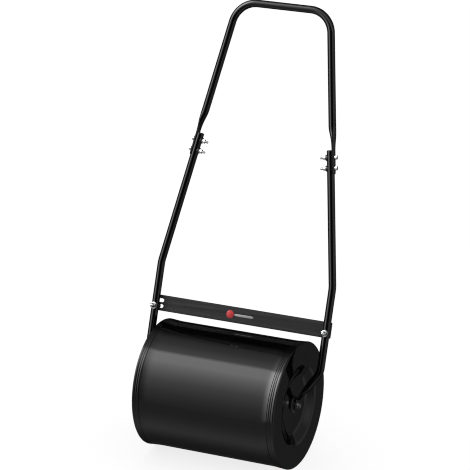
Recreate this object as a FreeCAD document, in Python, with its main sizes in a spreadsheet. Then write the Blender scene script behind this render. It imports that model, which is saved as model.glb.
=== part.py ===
"""Push lawn roller: a water-filled steel drum on an axle, pushed by a two-piece tube handle.

Frame: X along the axle, +Y behind the roller where the handle leans, +Z up, origin on the
ground under the middle of the drum. Handle pieces are drawn upright in the XZ plane of their
own frame, with Z running up the handle from the axle, and then leaned back about the axle.
"""
import FreeCAD, Part
import math
import os
from types import SimpleNamespace

import Sketcher

Vector = FreeCAD.Vector
Rotation = FreeCAD.Rotation
Placement = FreeCAD.Placement

SIZES = {
    # Drum
    "drum_half_length": 190.0,
    "drum_body_radius": 157.4,
    "drum_rim_radius": 160.0,
    "shell_wall": 1.6,
    "cap_wall": 2.0,
    "rim_band": 17.0,
    "rim_ramp": 6.0,
    "rim_corner": 3.0,
    "dish_outer_radius": 101.0,
    "dish_floor_radius": 73.0,
    "dish_depth": 13.0,
    "dish_corner": 8.0,
    # Axle and its bearings
    "axle_height": 160.0,
    "axle_radius": 8.0,
    "sleeve_radius": 17.0,
    "sleeve_wall": 2.0,
    "bush_depth": 22.0,
    "bush_flange_radius": 21.0,
    "bush_flange": 2.6,
    "running_gap": 0.05,
    "thrust_washer_radius": 10.0,
    "thrust_washer": 1.6,
    "axle_tap_depth": 22.0,
    "axle_bolt_reach": 18.0,
    # Filler in the left end of the drum
    "filler_offset": 132.0,
    "filler_radius": 12.0,
    "filler_neck_radius": 17.0,
    "filler_neck_rise": 4.0,
    "filler_neck_depth": 10.0,
    "gasket": 1.5,
    "plug_flange_radius": 16.0,
    "plug_flange": 3.0,
    "plug_head": 5.0,
    "plug_flats": 17.0,
    "plug_stem": 9.0,
    "thread_gap": 0.3,
    # Handle tubes
    "lean_angle": 19.9,
    "leg_angle": 9.65,
    "tube_radius": 9.5,
    "tube_wall": 1.5,
    "lower_half_span": 233.1,
    "lower_foot_bend": 88.0,
    "lower_knee": 298.6,
    "lower_top": 629.0,
    "foot_angle": 33.0,
    "foot_bend_radius": 42.0,
    "knee_radius": 90.0,
    "foot_plate_centre": 184.8,
    "foot_plate": 3.8,
    "foot_plate_half_width": 13.5,
    "foot_press_start": 52.0,
    "foot_press_end": 23.0,
    "foot_plate_top": 10.0,
    "upper_top": 969.5,
    "upper_corner_radius": 62.0,
    "upper_flat_start": 692.0,
    "upper_flat_full": 632.0,
    "upper_flat_end": 575.0,
    "upper_step": 5.5,
    "upper_plate": 2.4,
    "upper_plate_half_width": 10.2,
    "joint_gap": 0.1,
    "plug_cap": 3.0,
    "plug_insert": 8.0,
    # Scraper bar
    "bar_half_length": 242.0,
    "bar_bottom": 174.0,
    "bar_height": 40.0,
    "bar_thickness": 3.0,
    "bar_corner": 3.0,
    "slot_row_low": 185.8,
    "slot_row_high": 200.4,
    "slot_inner_end": 215.2,
    "slot_outer_end": 238.2,
    "slot_half_height": 4.7,
    # M8 hardware on the scraper and the axle
    "m8_radius": 4.0,
    "m8_hole_radius": 4.3,
    "m8_flats": 13.0,
    "m8_head": 5.3,
    "m8_washer_radius": 8.5,
    "m8_washer": 1.6,
    "m8_cap_nut": 14.5,
    "m8_cap_hex": 6.5,
    "m8_cap_wall": 4.0,
    "coach_head_radius": 9.0,
    "coach_head": 4.4,
    # M6 hardware in the handle joints
    "m6_radius": 3.0,
    "m6_hole_radius": 3.3,
    "m6_flats": 10.0,
    "m6_head": 4.0,
    "m6_nut": 5.5,
    "m6_washer_radius": 6.0,
    "m6_washer": 1.2,
    "m6_tail": 8.0,
    "saddle_radius": 7.5,
    "saddle_rise": 2.6,
    "joint_bolt_low": 588.0,
    "joint_bolt_high": 614.0,
}

# Hexagons, as shares of the width across flats
HEX_CORNER = 1 / math.sqrt(3)
HEX_REACH = 0.6                    # turned blank, just outside the corners
HEX_FACE = 0.47                    # round top face left by the chamfer
HEX_CHAMFER = (HEX_REACH - HEX_FACE) * HEX_CORNER
NOSE = 0.98                        # a rounded end's radius over half its width, short of a full half circle
PRESS_STEPS = ((0, 0), (0.3, 0.25), (0.7, 0.8), (1, 1))    # how far along a pressed end, and how flat there
LEFT, RIGHT = -1, 1

doc = FreeCAD.newDocument("lawn_roller")
nodes = []


class Size:
    """A number that remembers the spreadsheet expression it comes from."""

    def __init__(self, value, text):
        self.value = float(value)
        self.text = text

    @staticmethod
    def of(other):
        return other if isinstance(other, Size) else Size(other, repr(float(other)))

    def __add__(self, other):
        other = Size.of(other)
        return Size(self.value + other.value, f"({self.text} + {other.text})")

    def __sub__(self, other):
        other = Size.of(other)
        return Size(self.value - other.value, f"({self.text} - {other.text})")

    def __mul__(self, other):
        other = Size.of(other)
        return Size(self.value * other.value, f"({self.text} * {other.text})")

    def __truediv__(self, other):
        other = Size.of(other)
        return Size(self.value / other.value, f"({self.text} / {other.text})")

    def __radd__(self, other):
        return Size.of(other) + self

    def __rsub__(self, other):
        return Size.of(other) - self

    def __rmul__(self, other):
        return Size.of(other) * self

    def __neg__(self):
        return Size(-self.value, f"(-{self.text})")


def fill_sheet():
    """Write the driving dimensions into the spreadsheet and return them as Size values."""
    sheet = doc.addObject("Spreadsheet::Sheet", "dims")
    for row, (alias, value) in enumerate(SIZES.items(), start=1):
        sheet.set(f"A{row}", alias)
        sheet.set(f"B{row}", str(value))
        sheet.setAlias(f"B{row}", alias)
    doc.recompute()
    return SimpleNamespace(**{alias: Size(value, f"dims.{alias}") for alias, value in SIZES.items()})


d = fill_sheet()


# ---------------------------------------------------------------- sketches and features

def bind(obj, prop, size):
    """Drive one property of an object from the spreadsheet."""
    obj.setExpression(prop, Size.of(size).text)


def limit(sketch, kind, where, size):
    """Add a driving constraint whose value follows the spreadsheet."""
    size = Size.of(size)
    index = sketch.addConstraint(Sketcher.Constraint(kind, *where, size.value))
    if "dims" in size.text:
        sketch.setExpression(f"Constraints[{index}]", size.text)


def fix_point(sketch, element, end, x, y):
    """Hold one point of a sketch element at a place measured from the sketch's origin."""
    limit(sketch, "DistanceX", (element, end), x)
    limit(sketch, "DistanceY", (element, end), y)


def sketch_in(body, name, plane, offset=(0, 0, 0), tilt=0.0):
    """Put a sketch on an origin plane, moved by an offset and tilted about the Y axis."""
    sketch = body.newObject("Sketcher::SketchObject", f"{body.Name}_{name}")
    support = next(item for item in body.Origin.OriginFeatures if item.Role == plane)
    sketch.AttachmentSupport = [(support, "")]
    sketch.MapMode = "FlatFace"
    tilt_axis = Vector(1, 0, 0) if plane == "YZ_Plane" else Vector(0, 1, 0)
    place = Vector(*[Size.of(value).value for value in offset])
    sketch.AttachmentOffset = Placement(place, Rotation(tilt_axis, -tilt))
    for axis, value in zip("xyz", offset):
        if isinstance(value, Size):
            bind(sketch, f"AttachmentOffset.Base.{axis}", value)
    return sketch


def outline(sketch, corners, closed=True):
    """Draw straight runs from corner to corner; a third value rounds a corner by that radius."""
    count = len(corners)
    points = [Vector(Size.of(corner[0]).value, Size.of(corner[1]).value, 0) for corner in corners]
    leave = list(points)
    reach = list(points)
    arcs = {}
    for i, corner in enumerate(corners):
        if len(corner) < 3:
            continue
        radius = Size.of(corner[2]).value
        before = (points[i] - points[i - 1]).normalize()
        after = (points[(i + 1) % count] - points[i]).normalize()
        trim = radius * math.tan(before.getAngle(after) / 2)
        reach[i] = points[i] - before * trim
        leave[i] = points[i] + after * trim
        turns_left = before.cross(after).z > 0
        centre = reach[i] + Vector(-before.y, before.x, 0) * (radius if turns_left else -radius)
        first, last = (reach[i], leave[i]) if turns_left else (leave[i], reach[i])
        angles = [math.atan2(end.y - centre.y, end.x - centre.x) for end in (first, last)]
        circle = Part.Circle(centre, Vector(0, 0, 1), radius)
        arcs[i] = (Part.ArcOfCircle(circle, *angles), (1, 2) if turns_left else (2, 1))
    runs = count if closed else count - 1
    for i in range(runs):
        sketch.addGeometry(Part.LineSegment(leave[i], reach[(i + 1) % count]), False)
    for i, corner in enumerate(corners):
        before, after = (i - 1) % count, i
        if i in arcs:
            arc, (near, far) = arcs[i]
            arc_id = sketch.addGeometry(arc, False)
            sketch.addConstraint(Sketcher.Constraint("Tangent", before, 2, arc_id, near))
            sketch.addConstraint(Sketcher.Constraint("Tangent", arc_id, far, after, 1))
            limit(sketch, "Radius", (arc_id,), corner[2])
            tip = sketch.addGeometry(Part.Point(points[i]), True)
            sketch.addConstraint(Sketcher.Constraint("PointOnObject", tip, 1, before))
            sketch.addConstraint(Sketcher.Constraint("PointOnObject", tip, 1, after))
            fix_point(sketch, tip, 1, corner[0], corner[1])
        elif closed or 0 < i < count - 1:
            sketch.addConstraint(Sketcher.Constraint("Coincident", before, 2, after, 1))
            fix_point(sketch, after, 1, corner[0], corner[1])
        elif i == 0:
            fix_point(sketch, 0, 1, corner[0], corner[1])
        else:
            fix_point(sketch, runs - 1, 2, corner[0], corner[1])


def circle(sketch, radius, x=0, y=0):
    """Draw one full circle."""
    centre = Vector(Size.of(x).value, Size.of(y).value, 0)
    element = sketch.addGeometry(Part.Circle(centre, Vector(0, 0, 1), Size.of(radius).value), False)
    limit(sketch, "Radius", (element,), radius)
    fix_point(sketch, element, 3, x, y)


def oval_of_arcs(sketch, half_x, half_y, corner_x, corner_y):
    """Draw a closed section of four arcs: a round tube or one pressed nearly flat."""
    corners = [(corner_x, corner_y), (-corner_x, corner_y), (-corner_x, -corner_y), (corner_x, -corner_y)]
    middles = [(0, half_y), (-half_x, 0), (0, -half_y), (half_x, 0)]
    for i, middle in enumerate(middles):
        first = Vector(corners[i][0].value, corners[i][1].value, 0)
        last = Vector(corners[(i + 1) % 4][0].value, corners[(i + 1) % 4][1].value, 0)
        through = Vector(Size.of(middle[0]).value, Size.of(middle[1]).value, 0)
        sketch.addGeometry(Part.Arc(first, through, last), False)
    for i, corner in enumerate(corners):
        sketch.addConstraint(Sketcher.Constraint("Coincident", (i - 1) % 4, 2, i, 1))
        fix_point(sketch, i, 1, *corner)
        middle = sketch.addGeometry(Part.Point(Vector(*[Size.of(v).value for v in middles[i]], 0)), True)
        sketch.addConstraint(Sketcher.Constraint("PointOnObject", middle, 1, i))
        fix_point(sketch, middle, 1, *middles[i])


def new_body(name):
    """Start a body."""
    return doc.addObject("PartDesign::Body", name)


def feature(body, kind, sketch, **settings):
    """Add one sketch-based feature to a body; Size settings are bound to the spreadsheet."""
    item = body.newObject(f"PartDesign::{kind}", f"{sketch.Name}_{kind}")
    item.Profile = sketch
    for prop, value in settings.items():
        if isinstance(value, Size):
            bind(item, prop, value)
        else:
            setattr(item, prop, value)
    doc.recompute()
    return item


def turned(name, corners, axis="V_Axis"):
    """Make a turned piece from its half profile; V_Axis turns about Z and H_Axis about X."""
    body = new_body(name)
    sketch = sketch_in(body, "profile", "XZ_Plane")
    outline(sketch, corners)
    feature(body, "Revolution", sketch, ReferenceAxis=(sketch, [axis]), Angle=360)
    return body


def hexed(name, corners, flats, length):
    """Make a turned piece whose thick part is cut to a hexagon, such as a bolt or a nut."""
    blank = turned(f"{name}_blank", corners)
    prism = doc.addObject("Part::Prism", f"{name}_hexagon")
    prism.Polygon = 6
    bind(prism, "Circumradius", flats * HEX_CORNER)
    bind(prism, "Height", length * 2)
    bind(prism, "Placement.Base.z", -length)
    piece = doc.addObject("Part::Common", name)
    piece.Base = blank
    piece.Tool = prism
    return piece


def hex_flank(flats, seat, top):
    """Half profile of a hexagon blank from its seat to its chamfered top face."""
    chamfer = flats * (HEX_CHAMFER if top.value > seat.value else -HEX_CHAMFER)
    return [(flats * HEX_REACH, seat), (flats * HEX_REACH, top - chamfer), (flats * HEX_FACE, top)]


def hex_bolt(name, flats, radius, tail, seat, top):
    """A hexagon bolt about Z: tail end, underside of the head and top of the head."""
    corners = [(0, tail), (radius, tail, radius * 0.2), (radius, seat), *hex_flank(flats, seat, top), (0, top)]
    return hexed(name, corners, flats, top + flats)


def pipe(body, path, section):
    """Sweep a section along a path."""
    item = body.newObject("PartDesign::AdditivePipe", f"{section.Name}_pipe")
    item.Profile = section
    item.Spine = path
    item.Transition = "Transformed"
    doc.recompute()
    return item


def loft(body, sections):
    """Join a row of sections with one smooth skin."""
    item = body.newObject("PartDesign::AdditiveLoft", f"{sections[0].Name}_loft")
    item.Profile = sections[0]
    item.Sections = sections[1:]
    doc.recompute()
    return item


# ---------------------------------------------------------------- placing and naming

def on_axle(obj):
    """Lift a piece drawn about the X axis up to the axle's height."""
    bind(obj, "Placement.Base.z", d.axle_height)


def leaned():
    """The handle's own frame: the XZ plane turned back about the axle."""
    return Placement(Vector(0, 0, d.axle_height.value), Rotation(Vector(1, 0, 0), -d.lean_angle.value))


def lean(obj):
    """Turn a handle piece back about the axle."""
    obj.Placement = leaned()
    on_axle(obj)
    bind(obj, "Placement.Rotation.Angle", -d.lean_angle)


def site(x, z, direction):
    """A place on the leaned handle whose Z axis runs along a fastener."""
    spot = Placement(Vector(Size.of(x).value, 0, Size.of(z).value), Rotation(Vector(0, 0, 1), direction))
    return leaned().multiply(spot)


def name_node(obj, label):
    """Give a finished piece the name of its file."""
    obj.Label = label
    nodes.append(obj)


def group(label, pieces):
    """Keep identical fasteners together as one node of separate solids."""
    compound = doc.addObject("Part::Compound", f"{label}_group")
    compound.Links = pieces
    name_node(compound, label)


# ---------------------------------------------------------------- drum

def drum_shell():
    """Rolled steel barrel; the end caps' skirts close over its ends."""
    half = d.drum_half_length - d.cap_wall
    inside = d.drum_body_radius - d.shell_wall
    corners = [(-half, d.drum_body_radius), (half, d.drum_body_radius), (half, inside), (-half, inside)]
    body = turned("shell", corners, "H_Axis")
    on_axle(body)
    name_node(body, "drum_shell")


def end_cap(side, label):
    """Pressed end disc: skirt over the barrel, flat rim, cone and dished floor round the sleeve."""
    face = d.drum_half_length * side
    inner_face = (d.drum_half_length - d.cap_wall) * side
    floor = (d.drum_half_length - d.dish_depth) * side
    inner_floor = (d.drum_half_length - d.dish_depth - d.cap_wall) * side
    skirt = (d.drum_half_length - d.rim_band) * side
    ramp = (d.drum_half_length - d.rim_band - d.rim_ramp) * side
    body = turned(f"cap_{label}", [
        (floor, d.sleeve_radius),
        (floor, d.dish_floor_radius, d.dish_corner),
        (face, d.dish_outer_radius, d.dish_corner),
        (face, d.drum_rim_radius, d.rim_corner),
        (skirt, d.drum_rim_radius, d.rim_ramp),
        (ramp, d.drum_body_radius + 0.4),
        (ramp, d.drum_body_radius),
        (inner_face, d.drum_body_radius),
        (inner_face, d.dish_outer_radius, d.dish_corner),
        (inner_floor, d.dish_floor_radius, d.dish_corner),
        (inner_floor, d.sleeve_radius),
    ], "H_Axis")
    on_axle(body)
    if side == LEFT:
        hole = sketch_in(body, "filler_hole", "YZ_Plane", offset=(0, 0, face))
        circle(hole, d.filler_neck_radius, 0, -d.filler_offset)
        feature(body, "Pocket", hole, Length=d.dish_depth, Midplane=True)
    name_node(body, f"end_cap_{label}")


def axle_sleeve():
    """Tube welded between the two end caps, which the bushes are pressed into."""
    half = d.drum_half_length - d.dish_depth
    bore = d.sleeve_radius - d.sleeve_wall
    body = turned("sleeve", [(-half, bore), (-half, d.sleeve_radius), (half, d.sleeve_radius), (half, bore)],
                  "H_Axis")
    on_axle(body)
    name_node(body, "axle_sleeve")


def axle_bush(side, label):
    """Flanged plastic bush in one end of the sleeve."""
    mouth = (d.drum_half_length - d.dish_depth) * side
    flange_face = (d.drum_half_length - d.dish_depth + d.bush_flange) * side
    deep = (d.drum_half_length - d.dish_depth - d.bush_depth) * side
    bore = d.axle_radius + d.running_gap
    body = turned(f"bush_{label}", [
        (deep, bore),
        (flange_face, bore),
        (flange_face, d.bush_flange_radius, 1.0),
        (mouth, d.bush_flange_radius),
        (mouth, d.sleeve_radius - d.sleeve_wall),
        (deep, d.sleeve_radius - d.sleeve_wall),
    ], "H_Axis")
    on_axle(body)
    name_node(body, f"axle_bush_{label}")


def filler():
    """Threaded neck in the left end cap, with the rubber ring and the hexagon plug that close it."""
    inside = -d.drum_half_length + d.filler_neck_depth - d.filler_neck_rise
    mouth = -d.drum_half_length - d.filler_neck_rise
    seat = mouth - d.gasket
    flange = seat - d.plug_flange
    stem = d.filler_radius - d.thread_gap
    neck = turned("neck", [
        (inside, d.filler_radius),
        (inside, d.filler_neck_radius),
        (mouth, d.filler_neck_radius, 1.0),
        (mouth, d.filler_radius),
    ], "H_Axis")
    ring = turned("ring", [
        (mouth, d.filler_radius),
        (seat, d.filler_radius),
        (seat, d.plug_flange_radius - 0.5),
        (mouth, d.plug_flange_radius - 0.5),
    ], "H_Axis")
    plug = turned("plug", [
        (seat + d.plug_stem, 0),
        (seat + d.plug_stem, stem, 1.0),
        (seat, stem),
        (seat, d.plug_flange_radius),
        (flange, d.plug_flange_radius, 0.8),
        (flange, 0),
    ], "H_Axis")
    head = sketch_in(plug, "head", "YZ_Plane", offset=(0, 0, flange))
    sides = [math.radians(60 * step) for step in range(6)]
    corner = d.plug_flats * HEX_CORNER
    outline(head, [(corner * math.cos(turn), corner * math.sin(turn)) for turn in sides])
    feature(plug, "Pad", head, Length=d.plug_head, Reversed=True)
    for piece, label in ((neck, "filler_neck"), (ring, "filler_gasket"), (plug, "filler_plug")):
        bind(piece, "Placement.Base.z", d.axle_height - d.filler_offset)
        name_node(piece, label)


# ---------------------------------------------------------------- axle

def foot_inner_face():
    """Distance from the middle of the drum to the inner face of a flattened tube end."""
    return d.foot_plate_centre - d.foot_plate / 2


def axle_rod():
    """Fixed rod through the sleeve, with a tapped hole in each end."""
    end = foot_inner_face()
    body = turned("rod", [(-end, 0), (-end, d.axle_radius), (end, d.axle_radius), (end, 0)], "H_Axis")
    for side in (LEFT, RIGHT):
        name = "tap_left" if side == LEFT else "tap_right"
        hole = sketch_in(body, name, "YZ_Plane", offset=(0, 0, end * side))
        circle(hole, d.m8_radius)
        feature(body, "Pocket", hole, Length=d.axle_tap_depth, Reversed=side == LEFT)
    on_axle(body)
    name_node(body, "axle_rod")


def axle_hardware():
    """Thrust washers beside the bushes, and the bolts and washers that hold the feet to the rod."""
    thrust, washers, bolts = [], [], []
    bush_face = d.drum_half_length - d.dish_depth + d.bush_flange
    foot_outer = d.foot_plate_centre + d.foot_plate / 2
    head_seat = foot_outer + d.m8_washer
    head_top = head_seat + d.m8_head
    for side, label in ((LEFT, "left"), (RIGHT, "right")):
        ring = turned(f"thrust_{label}", [
            (d.axle_radius + 0.1, foot_inner_face() - d.thrust_washer),
            (d.thrust_washer_radius, foot_inner_face() - d.thrust_washer),
            (d.thrust_washer_radius, foot_inner_face()),
            (d.axle_radius + 0.1, foot_inner_face()),
        ])
        washer = turned(f"axle_washer_{label}", [
            (d.m8_hole_radius, foot_outer),
            (d.m8_washer_radius, foot_outer),
            (d.m8_washer_radius, head_seat),
            (d.m8_hole_radius, head_seat),
        ])
        bolt = hex_bolt(f"axle_bolt_{label}", d.m8_flats, d.m8_radius, foot_inner_face() - d.axle_bolt_reach,
                        head_seat, head_top)
        turn = Rotation(Vector(0, 0, 1), Vector(side, 0, 0))
        for piece, row in ((ring, thrust), (washer, washers), (bolt, bolts)):
            piece.Placement = Placement(Vector(0, 0, d.axle_height.value), turn)
            on_axle(piece)
            row.append(piece)
    assert (foot_inner_face() - d.thrust_washer).value > bush_face.value
    group("axle_thrust_washers", thrust)
    group("axle_washers", washers)
    group("axle_bolts", bolts)


# ---------------------------------------------------------------- handle

def leg_slope():
    """Sideways run of a leaning leg for each millimetre up the handle."""
    return math.tan(math.radians(d.leg_angle.value))


def lower_leg_x(z):
    """Distance of a lower tube's axis from the middle of the handle, above the knee."""
    return d.lower_half_span - (z - d.lower_knee) * leg_slope()


def upper_leg_x(z):
    """Distance of an upper tube's axis, a step outside the lower tube's."""
    return lower_leg_x(z) + d.upper_step / math.cos(math.radians(d.leg_angle.value))


def pressed_section(body, name, x, z, tilt, flatness, half_thick, half_width):
    """A tube section square to the tube, round at flatness 0 and pressed flat at flatness 1."""
    sketch = sketch_in(body, name, "XY_Plane", offset=(x, 0, z), tilt=tilt)
    half_x = d.tube_radius * (1 - flatness) + half_thick * flatness
    half_y = d.tube_radius * (1 - flatness) + half_width * flatness
    corner_x = d.tube_radius * (0.5 * (1 - flatness)) + half_thick * (0.85 * flatness)
    corner_y = d.tube_radius * (0.8660254 * (1 - flatness)) + (half_width - half_thick * 0.9) * flatness
    oval_of_arcs(sketch, half_x, half_y, corner_x, corner_y)
    return sketch


def tube_along(body, corners):
    """Sweep the handle tube along a path of straight runs and bends."""
    path = sketch_in(body, "path", "XZ_Plane")
    outline(path, corners, closed=False)
    doc.recompute()
    section = body.newObject("Sketcher::SketchObject", f"{body.Name}_section")
    section.AttachmentSupport = [(path, "Edge1")]
    section.MapMode = "NormalToEdge"
    section.MapPathParameter = 0
    circle(section, d.tube_radius)
    circle(section, d.tube_radius - d.tube_wall)
    pipe(body, path, section)


def cross_holes(body, name, radius, plane, offset, tilt, places):
    """Drill holes right through a tube at places along it, square to the given plane."""
    sketch = sketch_in(body, name, plane, offset=offset, tilt=tilt)
    for x, y in places:
        circle(sketch, radius, x, y)
    feature(body, "Pocket", sketch, Type="ThroughAll", Midplane=True)


def lower_handle(side, label):
    """Lower tube: leans in at the knee, bends in at the foot and is pressed flat on the axle."""
    body = new_body(f"lower_{label}")
    foot_run = math.tan(math.radians(d.foot_angle.value))

    def foot_x(z):
        return d.lower_half_span - (d.lower_foot_bend - z) * foot_run

    tube_along(body, [
        (lower_leg_x(d.lower_top) * side, d.lower_top),
        (d.lower_half_span * side, d.lower_knee, d.knee_radius),
        (d.lower_half_span * side, d.lower_foot_bend, d.foot_bend_radius),
        (foot_x(d.foot_press_start) * side, d.foot_press_start),
    ])
    thick, wide = d.foot_plate / 2, d.foot_plate_half_width
    tilt = -d.foot_angle.value * side
    run = d.foot_press_start - d.foot_press_end
    bend = (d.foot_press_end * 0.4 + d.foot_plate_top * 0.6)
    sections = []
    for index, (along, flatness) in enumerate(PRESS_STEPS):
        z = d.foot_press_start - run * along
        sections.append(pressed_section(body, f"press_{index}", foot_x(z) * side, z, tilt, flatness, thick, wide))
    bend_x = d.foot_plate_centre + (foot_x(bend) - d.foot_plate_centre) * 0.6
    sections.append(pressed_section(body, "press_bend", bend_x * side, bend, tilt / 2, 1, thick, wide))
    sections.append(pressed_section(body, "press_end", d.foot_plate_centre * side, d.foot_plate_top, 0, 1, thick,
                                    wide))
    loft(body, sections)
    plate = sketch_in(body, "plate", "YZ_Plane", offset=(0, 0, d.foot_plate_centre * side))
    nose = wide * NOSE
    top = d.foot_plate_top
    outline(plate, [(-wide, top), (-wide, -wide, nose), (wide, -wide, nose), (wide, top)])
    feature(body, "Pad", plate, Length=d.foot_plate, Midplane=True)
    cross_holes(body, "axle_hole", d.m8_hole_radius, "YZ_Plane", (0, 0, d.foot_plate_centre * side), 0, [(0, 0)])
    return body


def finish_lower_handle(side, label):
    """Drill a lower tube for the scraper bolt and for the two joint bolts."""
    body = lower_handle(side, label)
    cross_holes(body, "scraper_hole", d.m8_hole_radius, "XZ_Plane", (0, 0, 0), 0,
                [(d.lower_half_span * side, d.slot_row_low)])
    drill_joint(body)
    lean(body)
    name_node(body, f"lower_handle_{label}")


def drill_joint(body):
    """Drill the two joint bolt holes of each side that the body has, square to its leg."""
    for side, label in ((LEFT, "left"), (RIGHT, "right")):
        if label not in body.Name and "lower" in body.Name:
            continue
        for row, height in (("low", d.joint_bolt_low), ("high", d.joint_bolt_high)):
            sketch = sketch_in(body, f"joint_{label}_{row}", "YZ_Plane",
                               offset=(0, height, lower_leg_x(height) * side), tilt=d.leg_angle.value * side)
            circle(sketch, d.m6_hole_radius)
            feature(body, "Pocket", sketch, Length=d.tube_radius * 5, Midplane=True)


def upper_handle():
    """Bent grip tube with both legs pressed flat where they lie outside the lower tubes."""
    body = new_body("upper")
    tube_along(body, [
        (upper_leg_x(d.upper_flat_start), d.upper_flat_start),
        (upper_leg_x(d.upper_top), d.upper_top, d.upper_corner_radius),
        (-upper_leg_x(d.upper_top), d.upper_top, d.upper_corner_radius),
        (-upper_leg_x(d.upper_flat_start), d.upper_flat_start),
    ])
    thick, wide = d.upper_plate / 2, d.upper_plate_half_width
    press = d.tube_radius + d.joint_gap + thick - d.upper_step
    span = d.upper_flat_start - d.upper_flat_full
    slant = math.cos(math.radians(d.leg_angle.value))
    rise = math.sin(math.radians(d.leg_angle.value))
    for side, label in ((RIGHT, "right"), (LEFT, "left")):
        tilt = d.leg_angle.value * side
        sections = []
        for index, (along, flatness) in enumerate(PRESS_STEPS):
            z = d.upper_flat_start - span * along
            x = (upper_leg_x(z) + press * (flatness * slant)) * side
            sections.append(pressed_section(body, f"press_{label}_{index}", x, z + press * (flatness * rise), tilt,
                                            flatness, thick, wide))
        loft(body, sections)
        face_x = (upper_leg_x(d.upper_flat_full) + press * slant) * side
        plate = sketch_in(body, f"plate_{label}", "YZ_Plane",
                          offset=(0, d.upper_flat_full + press * rise, face_x), tilt=tilt)
        length = (d.upper_flat_full - d.upper_flat_end) / slant
        outline(plate, [(-wide, 0), (-wide, -length, wide * 0.8), (wide, -length, wide * 0.8), (wide, 0)])
        feature(body, "Pad", plate, Length=d.upper_plate, Midplane=True)
    drill_joint(body)
    lean(body)
    name_node(body, "upper_handle")


def tube_plugs():
    """Plastic plugs in the open tops of the lower tubes."""
    for side, label in ((LEFT, "left"), (RIGHT, "right")):
        bore = d.tube_radius - d.tube_wall
        plug = turned(f"tube_plug_{label}", [
            (0, -d.plug_insert),
            (bore, -d.plug_insert, 1.0),
            (bore, 0),
            (d.tube_radius, 0),
            (d.tube_radius, d.plug_cap, 1.8),
            (0, d.plug_cap),
        ])
        leg = math.radians(d.leg_angle.value)
        up = Vector(-side * math.sin(leg), 0, math.cos(leg))
        plug.Placement = site(lower_leg_x(d.lower_top) * side, d.lower_top, up)
        name_node(plug, f"tube_end_plug_{label}")


def scraper_bar():
    """Flat bar behind the lower tubes: two slots at the left end and two round holes at the right."""
    body = new_body("bar")
    back = -(d.tube_radius + d.bar_thickness)
    sheet = sketch_in(body, "outline", "XZ_Plane", offset=(0, 0, back))
    half, low, high = d.bar_half_length, d.bar_bottom, d.bar_bottom + d.bar_height
    outline(sheet, [(-half, low, d.bar_corner), (half, low, d.bar_corner), (half, high, d.bar_corner),
                    (-half, high, d.bar_corner)])
    feature(body, "Pad", sheet, Length=d.bar_thickness)
    cuts = sketch_in(body, "slots", "XZ_Plane", offset=(0, 0, back))
    for row in (d.slot_row_low, d.slot_row_high):
        circle(cuts, d.m8_hole_radius, d.lower_half_span, row)
    feature(body, "Pocket", cuts, Length=d.bar_thickness * 2, Midplane=True)
    for name, row in (("low", d.slot_row_low), ("high", d.slot_row_high)):
        slot = sketch_in(body, f"slot_{name}", "XZ_Plane", offset=(0, 0, back))
        inner, outer, reach = -d.slot_inner_end, -d.slot_outer_end, d.slot_half_height
        nose = reach * NOSE
        outline(slot, [(inner, row - reach, nose), (inner, row + reach, nose), (outer, row + reach, nose),
                       (outer, row - reach, nose)])
        feature(body, "Pocket", slot, Length=d.bar_thickness * 2, Midplane=True)
    lean(body)
    name_node(body, "scraper_bar")


def washer_ring(name, bore, radius, seat, thickness):
    """A flat washer about Z, standing on its seat."""
    return turned(name, [(bore, seat), (radius, seat), (radius, seat + thickness), (bore, seat + thickness)])


def scraper_hardware():
    """A coach bolt through bar and tube on each side, with a washer and a domed cap nut in front."""
    bolts, washers, nuts = [], [], []
    front = d.tube_radius
    nut_seat = front + d.m8_washer
    nut_top = nut_seat + d.m8_cap_nut
    bolt_end = nut_top - d.m8_cap_wall
    behind = -(d.tube_radius + d.bar_thickness)
    for side, label in ((LEFT, "left"), (RIGHT, "right")):
        bolt = turned(f"coach_bolt_{label}", [
            (0, behind - d.coach_head),
            (d.coach_head_radius * 0.55, behind - d.coach_head * 0.86, 6.0),
            (d.coach_head_radius, behind - d.coach_head * 0.15),
            (d.coach_head_radius, behind),
            (d.m8_radius, behind),
            (d.m8_radius, bolt_end),
            (0, bolt_end),
        ])
        washer = washer_ring(f"scraper_washer_{label}", d.m8_hole_radius, d.m8_washer_radius, front, d.m8_washer)
        dome = d.m8_flats * HEX_FACE
        nut = hexed(f"cap_nut_{label}", [
            (d.m8_radius, nut_seat),
            *hex_flank(d.m8_flats, nut_seat, nut_seat + d.m8_cap_hex),
            (dome, nut_top, dome * 0.95),
            (0, nut_top),
            (0, bolt_end),
            (d.m8_radius, bolt_end),
        ], d.m8_flats, nut_top + d.m8_flats)
        for piece, row in ((bolt, bolts), (washer, washers), (nut, nuts)):
            piece.Placement = site(d.lower_half_span * side, d.slot_row_low, Vector(0, -1, 0))
            row.append(piece)
    group("scraper_bolts", bolts)
    group("scraper_washers", washers)
    group("scraper_cap_nuts", nuts)


def saddle_washer(name):
    """Thick washer whose foot is hollowed to sit on the tube."""
    ring = washer_ring(f"{name}_ring", d.m6_hole_radius, d.saddle_radius, -(d.tube_radius + d.saddle_rise),
                       d.saddle_rise + 3)
    tube = doc.addObject("Part::Cylinder", f"{name}_tube")
    bind(tube, "Radius", d.tube_radius)
    bind(tube, "Height", d.tube_radius * 4)
    tube.Placement = Placement(Vector(-2 * d.tube_radius.value, 0, 0), Rotation(Vector(0, 1, 0), 90))
    piece = doc.addObject("Part::Cut", name)
    piece.Base = ring
    piece.Tool = tube
    return piece


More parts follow.
